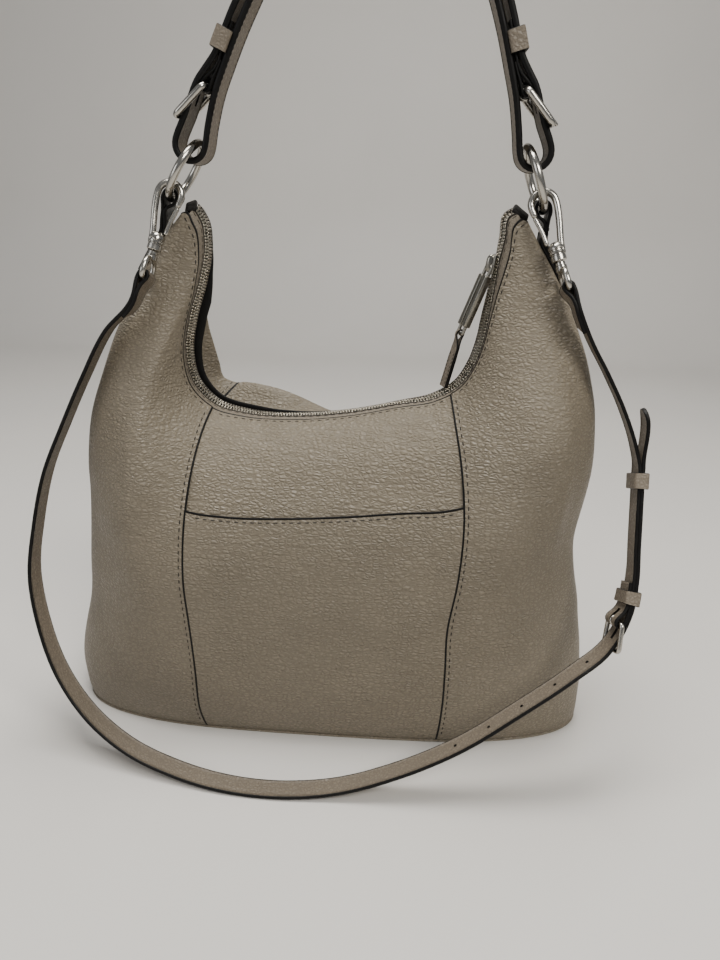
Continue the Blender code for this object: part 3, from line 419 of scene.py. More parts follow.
# ---- finishes ------------------------------------------------------------------------------------
class Finish:
    """A Principled material with a short way to add and join nodes."""

    def __init__(self, name, rgb, rough, metal=0.0, **sockets):
        self.mat = bpy.data.materials.new(name)
        self.mat.use_nodes = True
        self.tree = self.mat.node_tree
        self.shader = self.tree.nodes["Principled BSDF"]
        sockets |= {"Base Color": (*rgb, 1), "Roughness": rough, "Metallic": metal}
        for key, value in sockets.items():
            self.shader.inputs[key].default_value = value
        self.mat.diffuse_color = (*rgb, 1)

    def add(self, kind, links=None, props=None, **values):
        node = self.tree.nodes.new("ShaderNode" + kind)
        for key, value in (props or {}).items():
            setattr(node, key, value)
        for key, value in values.items():
            node.inputs[key].default_value = value
        for key, source in (links or {}).items():
            self.tree.links.new(source, node.inputs[key])
        return node

    def link(self, source, key):
        self.tree.links.new(source, self.shader.inputs[key])

    def place(self, scale):
        """Bag coordinates in metres, stretched by scale."""
        at = self.add("TexCoord")
        return self.add("Mapping", {"Vector": at.outputs["Object"]}, Scale=scale).outputs["Vector"]

    def noise(self, scale, detail=3.0, stretch=(1, 1, 1)):
        node = self.add("TexNoise", {"Vector": self.place(stretch)}, Scale=scale, Detail=detail)
        return node.outputs["Fac"]

    def remap(self, value, lo, hi, to_lo, to_hi):
        return self.add("MapRange", {"Value": value}, {"interpolation_type": "SMOOTHSTEP"}, **{
            "From Min": lo, "From Max": hi, "To Min": to_lo, "To Max": to_hi}).outputs["Result"]

    def fill(self, node, values):
        """Give sockets, by number, a plain value, a colour or another node's output."""
        for i, v in values:
            if isinstance(v, tuple):
                node.inputs[i].default_value = (*v, 1)
            elif isinstance(v, (int, float)):
                node.inputs[i].default_value = v
            else:
                self.tree.links.new(v, node.inputs[i])

    def maths(self, kind, a, b):
        node = self.add("Math", None, {"operation": kind})
        self.fill(node, enumerate((a, b)))
        return node.outputs["Value"]

    def mix(self, fac, a, b):
        node = self.add("Mix", None, {"data_type": "RGBA"})
        self.fill(node, ((0, fac), (6, a), (7, b)))
        return node.outputs[2]

    def bump(self, height, strength, distance):
        node = self.add("Bump", {"Height": height}, Strength=strength, Distance=distance)
        self.link(node.outputs["Normal"], "Normal")


def shade(rgb, k):
    return tuple(min(1, c * k) for c in rgb)


def pebbled(name, rgb, cell, stretch, depth, rough, strength):
    """Pebbled leather: rounded grains between fine creases in painted shade, worn a little lighter on its
    edges.
    """
    f = Finish(name, rgb, rough, **{"Specular IOR Level": .42})
    warp = f.add("TexNoise", {"Vector": f.place(stretch)}, Scale=.55 / cell, Detail=2.0)
    shift = f.add("VectorMath", {0: warp.outputs["Color"]}, {"operation": "SCALE"}, Scale=cell * .9)
    at = f.add("VectorMath", {0: f.place(stretch), 1: shift.outputs[0]})
    grain = f.add("TexVoronoi", {"Vector": at.outputs[0]}, {"feature": "DISTANCE_TO_EDGE"},
                  Scale=1 / cell, Randomness=.95).outputs["Distance"]
    dome = f.remap(grain, -.02, .46, 0, 1)
    pressed = f.remap(f.noise(42, 2.0), .32, .68, .60, 1.0)            # places where the grain lies flatter
    across = f.noise(.55 / cell, 2.0, (stretch[0] * .62, 1, stretch[2] * 1.7))
    height = f.maths("ADD", f.maths("MULTIPLY", dome, pressed), f.maths("MULTIPLY", f.noise(2600, 2.0), .12))
    height = f.maths("ADD", height, f.maths("MULTIPLY", across, 1.5))
    tone_and_crease_shade = f.mix(f.remap(f.noise(9), .3, .7, 0, 1), shade(rgb, .90), shade(rgb, 1.08))
    # painted shade: the creases between the grains are darkened towards half the leather's colour
    tone_and_crease_shade = f.mix(f.remap(dome, 0, .6, .42, 0), tone_and_crease_shade, shade(rgb, .50))
    worn = f.remap(f.add("NewGeometry").outputs["Pointiness"], .53, .62, 0, .22)
    f.link(f.mix(worn, tone_and_crease_shade, shade(rgb, 1.35)), "Base Color")
    dull = f.remap(f.noise(26), .3, .7, rough - .05, rough + .06)
    f.link(f.maths("ADD", f.remap(dome, 0, 1, .12, -.02), dull), "Roughness")
    f.bump(height, strength, depth)
    return f.mat


def metal(name, rgb, rough):
    """Plated metal: faint polishing lines, fingerprints and a few duller patches."""
    f = Finish(name, rgb, rough, 1.0)
    lines = f.noise(900, 2.0, (1, 1, .12))
    f.link(f.remap(f.noise(120), .42, .7, rough, rough + .13), "Roughness")
    f.link(f.mix(f.remap(f.noise(60, 2.0), .35, .7, 0, .35), rgb, shade(rgb, .82)), "Base Color")
    f.bump(f.maths("MULTIPLY", lines, .05), .5, .0002)
    return f.mat


def woven(name, rgb, pitch):
    """Plain weave of crossing threads."""
    f = Finish(name, rgb, .85, **{"Sheen Weight": .15, "Specular IOR Level": .25})
    threads_each_way = [f.add("TexWave", {"Vector": f.place((1, 1, 1))}, {"bands_direction": way},
                              Scale=2 / 6.28 / pitch, Distortion=.6, Detail=1.0) for way in ("X", "Z")]
    cloth = f.maths("MULTIPLY", *[wave.outputs["Fac"] for wave in threads_each_way])
    f.link(f.mix(f.remap(cloth, 0, 1, 0, .5), shade(rgb, .7), shade(rgb, 1.3)), "Base Color")
    f.bump(cloth, .6, .0002)
    return f.mat


def painted(name, rgb, rough):
    """Edge paint: thick, a little glossy, not quite level."""
    f = Finish(name, rgb, rough, **{"Specular IOR Level": .18})
    f.link(f.remap(f.noise(300, 2.0), .3, .7, rough - .08, rough + .12), "Roughness")
    f.bump(f.noise(700, 2.0), .35, .0002)
    return f.mat


LEATHER_RGB = (.186, .157, .113)
STRAP_RGB = (.165, .137, .103)
HIDE = pebbled("bag_leather", LEATHER_RGB, .0025, (.70, 1, 1.20), .0009, .40, .75)
STRAP = pebbled("strap_leather", STRAP_RGB, .0022, (1, 1, 1), .0004, .46, .7)
INK = painted("edge_paint", (.0028, .0025, .0023), .46)
DARK = painted("dark_leather", (.010, .009, .008), .46)
THREAD = painted("thread", (.030, .026, .022), .62)
SILVER = metal("polished_nickel", (.44, .42, .38), .17)
PULL_METAL = metal("pull_nickel", (.27, .255, .22), .2)
TEETH = metal("zip_teeth", (.44, .405, .34), .26)
TAPE = pebbled("zip_gusset", (.175, .148, .112), .0016, (1, 1, 1), .0003, .5, .6)
LINING = woven("lining", (.040, .036, .033), .0009)
BOARD = painted("base_board", (.03, .029, .028), .8)



def hardware(name, shapes, body, node, finish=SILVER):
    """A piece of plated metal made of one or more shapes."""
    piece(name, [(*shape, finish) for shape in shapes], body, [node])


# ---- leather shell -------------------------------------------------------------------------------
DENSE = 1.0
A, B = SEAM_SHARE


def heights(count):
    """Rows from 0 to 1, closer together towards the top."""
    return 1 - (1 - np.linspace(0, 1, count)) ** 1.35


def leather(side, s0, s1, cols, rows, out=0.0, thick=LEATHER, t_top=None, roll=()):
    """Outer points, inner points and normals of a cut panel, lifted by out, rolled in at the named edges."""
    cols, rows = int(cols * DENSE), int(rows * DENSE)
    share = 1 - np.cos(math.pi * (.08 + .84 * np.arange(cols) / (cols - 1)))
    share = s0 + (s1 - s0) * (share - share[0]) / (share[-1] - share[0])
    foot = .0021 / zip_at(share)[1]
    t = foot[:, None] + (t_top(side, share) - foot)[:, None] * heights(rows)
    share = np.repeat(share[:, None], rows, 1)
    lift = out(t) if callable(out) else out + 0 * t
    p, _ = hide(side, share, t)
    edge = {"s0": np.linalg.norm(p - p[:1], axis=-1), "s1": np.linalg.norm(p - p[-1:], axis=-1),
            "foot": p[..., 2] - p[:, :1, 2]}
    for which, deep, reach in roll:
        lift = lift - deep * np.exp(-np.maximum(edge[which], 0) / reach)
    outer, n = hide(side, share, t, lift)
    inner = outer - n * thick
    inner[..., 1] = side * np.maximum(side * inner[..., 1], .1 * MM)
    return outer, inner, n


TURN_12 = np.linspace(0, 2 * math.pi, 12, endpoint=False)


def edge_bead(p, n, inward, thick):
    """Paint along a cut edge: a rounded bead as thick as the leather."""
    side = unit(inward - n * np.einsum("ij,ij->i", inward, n)[:, None])
    cw, ch = np.cos(TURN_12), np.sin(TURN_12)
    sq = lambda v, k: np.sign(v) * np.abs(v) ** k
    mid = p - n * (thick / 2 - .06 * MM) + side * (PAINT * .25)
    ring = mid[:, None] + (sq(cw, .8) * PAINT)[None, :, None] * side[:, None] \
        + (sq(ch, .55) * (thick / 2 + .10 * MM))[None, :, None] * n[:, None]
    return sweep(ring)


def edge_thread(side, share, t, lift=0.0):
    """Stitches along a line on the leather."""
    return (*beads(*hide(side, share, t, lift), STITCH_PITCH, STITCH_PITCH * .62, STITCH_R), THREAD)


def inset_share(s, t, side, gap):
    """Share that lies a real distance to one side of the share s at height t."""
    h = 2e-3
    a, b = hide(side, s - h, t)[0], hide(side, s + h, t)[0]
    return s + gap * 2 * h / np.maximum(np.linalg.norm(b - a, axis=-1), 1e-9)


def inset_t(share, side, gap):
    """Height that lies a real distance below the zip edge."""
    share = np.asarray(share, float)
    gap = np.broadcast_to(gap, share.shape)
    t = np.linspace(.80, 1, 81)
    p = hide(side, share[:, None], t[None, :])[0]
    d = np.linalg.norm(np.diff(p, axis=1), axis=-1)
    back = np.concatenate([np.cumsum(d[:, ::-1], axis=1)[:, ::-1], np.zeros((len(share), 1))], axis=1)
    return np.array([np.interp(-g, -row, t) for g, row in zip(gap, back)])


def along_zip(share, knots):
    """A value given at distances along the zip, read at shares of its run."""
    l, v = np.array(knots).T
    return np.interp(np.asarray(share) * ZIP_DRAWN, l, v)


def cut_below(side, share):
    """How far below the crest of the zip the leather is cut; the gusset shows above it."""
    return (along_zip(share, FRONT_CUT) if side < 0 else BACK_CUT + 0 * share) * MM


def zip_cut(side, share):
    return inset_t(share, side, cut_below(side, share))


def zip_stitches(side, s0, s1, count, lift):
    """Stitches a little below the cut edge along the zip."""
    share = np.linspace(s0, s1, count)
    t = inset_t(share, side, cut_below(side, share) + EDGE_STITCH)
    return edge_thread(side, share, t, lift(t) if callable(lift) else lift)


def top_edge(outer, n, thick):
    """Painted top edge of a panel."""
    return (*edge_bead(outer[:, -1], n[:, -1], outer[:, -1] - outer[:, -2], thick), INK)


def side_panel(side, word, s0, s1, name):
    """A wrap-round side panel with its painted seam and zip edges and their stitching."""
    left = name == "left"                # the seam is at its last column, not its first
    outer, inner, n = leather(side, s0, s1, 92, 120, t_top=zip_cut, roll=(
        ("s0" if left else "s1", .9 * MM, 1.6 * MM), FOOT_ROLL))
    k, inward, s = (-1, -2, s1) if left else (0, 1, s0)
    t = np.linspace(.035, float(zip_cut(side, np.array([s]))[0]) - .012, 400)
    seam_line = inset_share(s, t, side, -STITCH_IN if left else STITCH_IN)
    piece(f"{word}_{name}_leather", [
        (*sheet_of(outer, inner), HIDE),
        (*edge_bead(outer[k], n[k], outer[k] - outer[inward], LEATHER), INK),
        top_edge(outer, n, LEATHER), edge_thread(side, seam_line, t),
        zip_stitches(side, s0 + .012, s1 - .012, 260, 0)], "bag", [f"{word}_{name}_panel"])


FOOT_ROLL = ("foot", 1.0 * MM, 3 * MM)
EDGE_STITCH = 3.0 * MM               # from the zip's cut edge to the stitches along it
for side, word in ((-1, "front"), (1, "back")):
    side_panel(side, word, 0, A - SEAM_GAP, "left")
    side_panel(side, word, B + SEAM_GAP, 1, "right")
for side, word, rows, thick, lift in ((-1, "front", 120, 1.2 * MM, centre_recess),
                                      (1, "back", 110, LEATHER, -.6 * MM)):
    outer, inner, n = leather(side, A + SEAM_GAP * .2, B - SEAM_GAP * .2, 84, rows, lift, thick, zip_cut,
                              (FOOT_ROLL,))
    piece(f"{word}_centre_leather", [
        (*sheet_of(outer, inner), HIDE), top_edge(outer, n, 1.2 * MM),
        zip_stitches(side, A + .010, B - .010, 200, lift)], "bag", [f"{word}_center_panel"])

# slip pocket: painted top edge, stitched just below
POCKET_THICK, POCKET_SINK, POCKET_STITCH = 1.1 * MM, -.15 * MM, 2.1 * MM
outer, inner, n = leather(-1, A + SEAM_GAP * .6, B - SEAM_GAP * .6, 84, 96, POCKET_SINK, POCKET_THICK,
                          pocket_line, (FOOT_ROLL,))
share = np.linspace(A + .012, B - .012, 220)
down = POCKET_STITCH / (hide(-1, .5, POCKET_TOP)[0][2] / POCKET_TOP)
piece("front_slip_pocket_leather", [
    (*sheet_of(outer, inner), HIDE), top_edge(outer, n, POCKET_THICK),
    edge_thread(-1, share, pocket_line(-1, share) - down, POCKET_SINK)],
    "bag", ["front_slip_pocket"])


# ---- base ----------------------------------------------------------------------------------------
BASE_ROWS = [(0, 1.6), (.15, .8), (.6, .3), (1.1, .35), (1.6, 1.1)]    # height and inset, mm
rim = skin(np.linspace(0, 2 * math.pi, 160, endpoint=False), np.full(160, .004))
middle, half_size = np.array([-.0035, 0, 0]), np.array([.1835, .0557, 1])
ovals = []
for height, inset in BASE_ROWS:
    oval = middle + (rim - middle) * (1 - inset * MM / half_size)
    oval[:, 2] = height * MM
    ovals.append(oval)
piece("base_leather", [(*sweep(ovals), HIDE)], "bag", ["base_panel"])

# ---- zip -----------------------------------------------------------------------------------------
END_CLEAR = 7 * MM
TOOTH_PITCH = 1.9 * MM
SLIDER_AT = ZIP_RUN[np.argmin(np.hypot(ZIP[:, 0] - .0945, ZIP[:, 1] - .3165))] / ZIP_LEN


def zip_frame(share):
    e = 1.5 * MM / ZIP_LEN
    a, b = np.array(zip_at(share - e)), np.array(zip_at(share + e))
    x, z = zip_at(share)
    t = unit([b[0] - a[0], 0, b[1] - a[1]])
    return np.array([x, 0, z]), t, np.array([-t[2], 0, t[0]])


def band_frame(share):
    """The zip's own frame: point, direction, outward normal and the way towards the back of the bag.
    The band leans towards the front along both horns and lies flat across the middle."""
    p, t, n = zip_frame(share)
    lean = math.radians(float(along_zip(share, BAND_LEAN)))
    return p, t, n * math.cos(lean) - SY * math.sin(lean), SY * math.cos(lean) + n * math.sin(lean)


def parted(share):
    """How far each row of teeth stands off the middle: closed below the slider, open above it."""
    return 1.5 * MM * ease((share - SLIDER_AT) * ZIP_LEN / .016)


for side, word in ((-1, "front"), (1, "back")):
    tooth_v, tooth_f = [], []
    shares = np.arange(END_CLEAR, ZIP_LEN - END_CLEAR, TOOTH_PITCH) / ZIP_LEN
    shares = shares + (TOOTH_PITCH / 2 / ZIP_LEN if side > 0 else 0)
    for share in shares:
        p, t, n, back = band_frame(share)
        y0 = parted(share)

        def place(a, y, h):
            return p + t * a + back * side * (y + y0) + n * h

        for v, f in (rounded_box(place, (-.58, -.25, -.8), (.58, 1.25, 1.25), .22, 1),
                     rounded_box(place, (-.72, 1.0, -1.0), (.72, 3.0, 1.0), .28, 1)):
            base = sum(len(q) for q in tooth_v)
            tooth_f += [tuple(i + base for i in q) for q in f]
            tooth_v.append(v)
    parts = [(np.vstack(tooth_v), tooth_f, TEETH)]
    shares = np.linspace(END_CLEAR / ZIP_LEN, 1 - END_CLEAR / ZIP_LEN, 300)
    cord, top, low, stitches = [], [], [], []
    for share in shares:
        p, t, n, back = band_frame(share)
        y0 = parted(share)
        cord.append(p + back * side * (3.15 * MM + y0) + n * .1 * MM)
        ph = phi_of(share) * (1 if side < 0 else -1)
        gap = float(cut_below(side, share))
        start = p + back * side * (2.5 * MM + y0) - n * .3 * MM
        under = []
        for down, sink in ((gap, .9), (gap + 2 * MM, 2.1)):
            tt = float(inset_t(np.array([share]), side, down)[0])
            under.append(skin(ph, tt) - skin_normal(ph, tt) * sink * MM)
        puff = unit(n + SY * side)
        rows = [start + (under[0] - start) * k + puff * .9 * MM * math.sin(math.pi * k)
                for k in (0, .15, .35, .55, .75, .9, 1)]
        stitches.append(rows[2] + puff * .25 * MM)
        rows.append(under[1])
        top.append([q + puff * .25 * MM for q in rows])
        low.append([q - puff * .25 * MM for q in rows])
    parts.append((*wire(cord, .55 * MM, sides=8), THREAD))
    piece(f"zip_teeth_row_{word}", parts, "bag", [f"zip_teeth_{word}"])
    parts = [(*sheet_of(np.array(top), np.array(low)), TAPE)]
    if side < 0:
        off = np.tile([0, -.5, .8], (len(stitches), 1))
        parts.append((*beads(stitches, off, STITCH_PITCH, STITCH_PITCH * .7, .3 * MM), THREAD))
    else:                        # the back's thick black edge stands up beyond the teeth: edge paint, made taller with painted shade of the gap behind the teeth
        rim = []
        for share in shares:
            p, t, n, back = band_frame(share)
            stand = (1.0 - 3.2 * n[1] + along_zip(share, BACK_STAND)) * MM
            mid, n0 = p + SY * 5.4 * MM, zip_frame(share)[2]
            lo = -1.6 * MM
            rim.append([mid + n0 * ((stand + lo) / 2 + (stand - lo) / 2 * math.sin(a))
                        + SY * .8 * MM * math.cos(a) for a in TURN_12])
        parts.append((*sweep(rim), INK))
    piece(f"zip_tape_cloth_{word}", parts, "bag", [f"zip_tape_{word}"])

# folded leather ends at both horn tips
END_AT = END_CLEAR * .55 / ZIP_LEN
for share, word, reach in ((END_AT, "left", 3.6), (1 - END_AT, "right", 5.4)):
    p, t, n, back = band_frame(share)
    end = rounded_box(lambda a, y, h: p + t * a + back * y + n * h,
                      (-reach, -5.2, -1.6), (reach, 5.2, 1.5), 1.2)
    piece("zip_end_" + word, [(*end, DARK)], "bag")

SP, ST, SN = zip_frame(SLIDER_AT)


def on_slider(a, y, n):
    return SP + ST * a + SY * y + SN * n


slider = [rounded_box(on_slider, (-6, -4.1, 1.5), (6, 4.1, 2.9), .65),
          rounded_box(on_slider, (-5.6, -3.4, -2.7), (5.6, 3.4, -1.9), .35),
          rounded_box(on_slider, (2, -.28, -2.2), (5.4, .28, 2.0), .1, 1)]
cap, cap_faces = wire([on_slider(a * MM, 0, 3.5 * MM) for a in (-2.3, 0, 2.3)], 3.3 * MM, sides=24)
slider.append((cap - np.outer((cap - SP) @ SY * .46, SY), cap_faces))      # domed cap the pull hangs from
for y in (-3.3, 3.3):
    rail = [on_slider(a * MM, y * MM, 3.0 * MM) for a in np.linspace(-4.6, 4.6, 12)]
    slider.append(wire(rail, .45 * MM, sides=10))
hardware("zip_slider_body", slider, "zip_slider", "zip_slider", PULL_METAL)

PULL_PIVOT = on_slider(-1.6 * MM, 0, 4.15 * MM)
PULL_END, TAB_TIP = np.array([.0752, 0, .2742]), np.array([.0672, 0, .2400])
PULL_DIR = unit(PULL_END - PULL_PIVOT)
PULL_LEN = float(np.linalg.norm(PULL_END - PULL_PIVOT))
PULL_OUT = np.cross(SY, PULL_DIR)
BAR = 1.1 * MM


def loop_rect(origin, along, across, length, half, corner, count=8):
    """Rounded rectangle of points, from the origin's bar to the far bar."""
    pts = []
    for cl, cw, a0 in ((length - corner, half - corner, 0), (corner, half - corner, 90),
                       (corner, -(half - corner), 180), (length - corner, -(half - corner), 270)):
        for a in np.linspace(a0, a0 + 90, count):
            r = math.radians(a)
            pts.append(origin + along * (cl + corner * math.cos(r)) + across * (cw + corner * math.sin(r)))
    return pts


TWIST = math.radians(26)             # the pull hangs turned a little towards the front
PULL_SIDE = SY * math.cos(TWIST) + PULL_OUT * math.sin(TWIST)
PULL_FACE = PULL_OUT * math.cos(TWIST) - SY * math.sin(TWIST)


def on_pull(a, y, n):
    return PULL_PIVOT + PULL_DIR * a + PULL_SIDE * y + PULL_FACE * n


pull = [wire(loop_rect(PULL_PIVOT, PULL_DIR, PULL_SIDE, PULL_LEN, 2.9 * MM, 1.6 * MM), BAR, True, 16)]
FAR_END = PULL_LEN / MM
for y in (-2.45, 2.45):
    pull.append(rounded_box(on_pull, (6, y - 1.9, -2.4), (FAR_END - 5.2, y + 1.9, 2.4), .7))
for near, far in ((7, 10), (FAR_END - 8, FAR_END - 5)):
    pull.append(rounded_box(on_pull, (near, -3.2, -1.7), (far, 3.2, 1.7), .8))
hardware("zip_pull_bars", pull, "zip_pull", "zip_pull", PULL_METAL)


# ---- straps: a flat strip with pebbled faces and thick painted edges -----------------------------
class Lay:
    """A strap's own frame: l along it, n off its face, w across it."""

    def __init__(self, points, across=(0, 1, 0), per=10):
        self.p = spline(points, per)
        self.l = run_of(self.p)
        self.length = self.l[-1]
        across = np.asarray(across, float)
        self.t = unit(np.gradient(self.p, self.l, axis=0))
        self.w = unit(across - self.t * (self.t @ across)[:, None])
        self.n = np.cross(self.w, self.t)

    def frame(self, l):
        q = np.clip(l, 0, self.length)
        get = lambda a: np.array([np.interp(q, self.l, a[:, k]) for k in range(3)])
        t, n, w = unit(get(self.t)), unit(get(self.n)), unit(get(self.w))
        return get(self.p) + t * (l - q), t, n, w

    def at(self, l, n=0.0, w=0.0):
        p, _, nn, ww = self.frame(l)
        return p + nn * n + ww * w


def stretch(l0, l1, n0, n1=None, step=.012):
    """Stations from l0 to l1 while the height eases from n0 to n1."""
    n1 = n0 if n1 is None else n1
    k = max(2, int(abs(l1 - l0) / step) + 1)
    return [(l0 + (l1 - l0) * s, n0 + (n1 - n0) * float(ease(s))) for s in np.linspace(0, 1, k)]


def ribbon(lay, line, half, thick, step=2.2 * MM, face=STRAP, wrap=.55 * MM, swell=.08 * MM,
           tips=(False, False)):
    """Flat strap whose centre line is drawn in the (l, n) plane of a lay. Paint reaches wrap in from its
    edges and swells past its faces, and tips says which of its two ends are cut round."""
    line = resample(spline(line, 6), step)
    run = run_of(line)
    near = half * (1 - np.sin(np.linspace(0, math.pi / 2, 8)))
    stations = np.unique(np.concatenate([run] + [near] * tips[0] + [run[-1] - near] * tips[1]))
    line = np.stack([np.interp(stations, run, line[:, k]) for k in range(2)], -1)
    bare = np.minimum(stations / half if tips[0] else 1, (run[-1] - stations) / half if tips[1] else 1)
    narrow = np.sqrt(np.clip(1 - (1 - np.clip(bare, 0, 1)) ** 2, .03, 1)) + 0 * stations
    tan = tangents(line)
    nor = np.stack([-tan[:, 1], tan[:, 0]], -1)
    across = 7
    flat = [((half - wrap) * (2 * k / (across - 1) - 1), thick / 2) for k in range(across)]
    turn = [(half - wrap + wrap * math.cos(math.radians(a)), (thick / 2 + swell) * math.sin(math.radians(a)))
            for a in np.linspace(90, -90, across)]
    ring = flat + turn
    ring += [(-q, -h) for q, h in ring]
    sections = []
    for middle, up, k in zip(line, nor, narrow):
        sections.append([lay.at(*(middle + up * h), q * k) for q, h in ring])
    verts, faces = sweep(sections)
    cols, side = len(ring), len(ring) // 2
    ink = [f for f in faces if len(f) > 4 or (f[0] % cols) % side >= across - 1]
    plain = [f for f in faces if len(f) == 4 and (f[0] % cols) % side < across - 1]
    return [(verts, plain, face), (verts, ink, INK)]


def lay_block(lay, l0, l1, n0, n1, half):
    """Plain block in a strap's own frame, for cutting slots."""
    c = [(x, y, z) for x in (l0, l1) for y in (n0, n1) for z in (-half, half)]
    f = [(0, 1, 3, 2), (4, 6, 7, 5), (0, 4, 5, 1), (2, 3, 7, 6), (0, 2, 6, 4), (1, 5, 7, 3)]
    return np.array([lay.at(*q) for q in c]), f


def keeper(lay, l0, l1, n0, n1, half, thick):
    """A flat band wrapped round everything between n0 and n1: leather outside, painted along both rims."""
    def outline(grow):
        a, b, w, k = n0 - grow, n1 + grow, half + grow, .4 * MM + grow
        out = []
        for cn, cw, start in ((b - k, w - k, 0), (b - k, k - w, 90),
                              (a + k, k - w, 180), (a + k, w - k, 270)):
            for ang in np.radians(np.linspace(start, start + 90, 6)):
                out.append((cn + k * math.sin(ang), cw + k * math.cos(ang)))
        return out

    inside, middle, outside = outline(0), outline(thick * .5), outline(thick)
    lip = .35 * MM
    stations = [(inside, l0 + lip), (middle, l0), (outside, l0 + lip), (outside, (l0 + l1) / 2),
                (outside, l1 - lip), (middle, l1), (inside, l1 - lip)]
    sections = [[lay.at(l, n, w) for n, w in ring] for ring, l in stations]
    verts, faces = sweep(sections, closed=True)
    cols = len(inside)
    rows = [f[0] // cols for f in faces]
    return [(verts, [f for f, r in zip(faces, rows) if r in (2, 3, 6)], STRAP),
            (verts, [f for f, r in zip(faces, rows) if r in (0, 1, 4, 5)], INK)]


def threads(lay, l0, l1, n, w, pitch=3.2 * MM, lift=1.0):
    """Stitches along a strap at height n, w across it."""
    at = np.linspace(l0, l1, max(2, int(abs(l1 - l0) / .002)))
    pts, nor = [lay.at(l, n, w) for l in at], [lay.frame(l)[2] * lift for l in at]
    return (*beads(pts, nor, pitch, pitch * .72, .30 * MM), THREAD)


def buckle_points(lay, heel, e, reach, half, corner, way=lambda l: l):
    """Rounded rectangle standing on a strap: its heel bar at heel, its far bar reach along e, half wide."""
    pts = []
    for far, side, start in ((1, 1, 0), (0, 1, 90), (0, -1, 180), (1, -1, 270)):
        for r in np.radians(np.linspace(start, start + 90, 9)):
            along = (reach - corner if far else corner) + corner * math.cos(r)
            pts.append(lay.at(way(heel[0] + e[0] * along), heel[1] + e[1] * along,
                              side * (half - corner) + corner * math.sin(r)))
    return pts


def prong_points(lay, heel, e, f, radius, reach, way=lambda l: l):
    """Prong: an eye most of the way round the heel bar, then straight along e, on the side f."""
    base = math.degrees(math.atan2(f[1], f[0]))
    turned = 285 if f[0] * e[1] < f[1] * e[0] else -285
    flat = [(heel[0] + f[0] * radius + e[0] * d, heel[1] + f[1] * radius + e[1] * d)
            for d in np.linspace(0, reach, 8)[1:]]
    return [lay.at(way(a), b) for a, b in arc(heel, radius, base + turned, base, 24) + flat]


def towards(a, b):
    """Distance and direction from a to b, both (l, n)."""
    reach = math.dist(a, b)
    return reach, ((b[0] - a[0]) / reach, (b[1] - a[1]) / reach)


# leather pull tab, folded round the pull's lower bar
TAB_DIR = unit(TAB_TIP - PULL_END)
tab_lay = Lay([PULL_END, PULL_END + TAB_DIR * .018, PULL_END + TAB_DIR * .036], across=PULL_SIDE, per=6)
TAB_RUN = float(np.linalg.norm(TAB_TIP - PULL_END))
TAB_HALF_WIDTH, TAB_NECK = 3.7 * MM, .8 * MM
round_bar = BAR + GAP + 1.0 * MM       # room for the turned pull as the tab swings
line = (stretch(TAB_RUN, .007, .65 * MM, step=.008) + [(.0035, 1.5 * MM)]
        + arc((0, 0), round_bar, 90, 270, 7) + [(.0035, -1.5 * MM)]
        + stretch(.007, TAB_RUN, -.65 * MM, step=.008))
tab = []
for verts, faces, mat in ribbon(tab_lay, line, TAB_HALF_WIDTH, 1.0 * MM, step=1.0 * MM, wrap=.45 * MM):
    l, w = (verts - PULL_END) @ TAB_DIR, (verts - PULL_END) @ tab_lay.w[0]
    half = TAB_NECK + (TAB_HALF_WIDTH - TAB_NECK) * ease((l - .001) / .009)       # narrow round the bar
    tab.append((verts + tab_lay.w[0] * (w * (half / TAB_HALF_WIDTH - 1))[:, None], faces, mat))
for w in (-2.3, 2.3):
    tab.append(threads(tab_lay, .012, TAB_RUN - 2 * MM, 1.2 * MM, w * MM, 2.6 * MM))
piece("zip_pull_leather", tab, "zip_pull_tab", ["zip_pull_tab"])

# ---- side rings and their leather tabs -----------------------------------------------------------
ring_centre = []
for k, (name, sign) in enumerate((("left", 1), ("right", -1))):
    foot = np.array([RING_FOOT_X[k], 0, RING_FOOT_Z[k]])
    up = np.array([sign * math.sin(RING_LEAN[k]), 0, math.cos(RING_LEAN[k])])
    centre = foot + up * RING_R
    ring_centre.append(centre)
    pts = [centre + RING_R * (-up * math.cos(a) + SY * math.sin(a))
           for a in np.linspace(0, 2 * math.pi, 96, endpoint=False)]
    hardware("ring_wire_" + name, [wire(pts, RING_WIRE, True, 24)], "bag", "ring_" + name)
    curve = LEFT if k == 0 else RIGHT
    off = GAP + 1.95 * MM
    pts = []
    for z in (.306, .3135, .321, .3280):
        a, b = side_x(curve, z - .002), side_x(curve, z + .002)
        nrm = unit([-.004, 0, b - a]) if k == 0 else unit([.004, 0, -(b - a)])
        pts.append(np.array([side_x(curve, z), 0, z]) + nrm * off)
    lay = Lay(pts + [foot - up * 6 * MM, foot], per=6)
    end, r = lay.length, RING_WIRE + GAP + .5 * MM + .9 * MM
    h = 1.05 * MM
    line = (stretch(0, end - .0065, h, step=.008) + [(end - .0045, 1.9 * MM), (end - .0022, 3.5 * MM)]
            + arc((end + 1.6 * MM, 0), r, 90, -90, 9) + [(end - .0022, -3.5 * MM), (end - .0045, -1.9 * MM)]
            + stretch(end - .0065, 0, -h, step=.008))
    parts = ribbon(lay, line, TAB_HALF, 1.8 * MM, step=1.2 * MM, face=DARK, wrap=.7 * MM)
    for sgn in (1, -1):
        for w in (-5.2, 5.2):
            parts.append(threads(lay, .003, end - .009, sgn * (h + 1.0 * MM), w * MM, 2.8 * MM, sgn))
    piece("side_tab_leather_" + name, parts, "bag", ["side_tab_" + name])

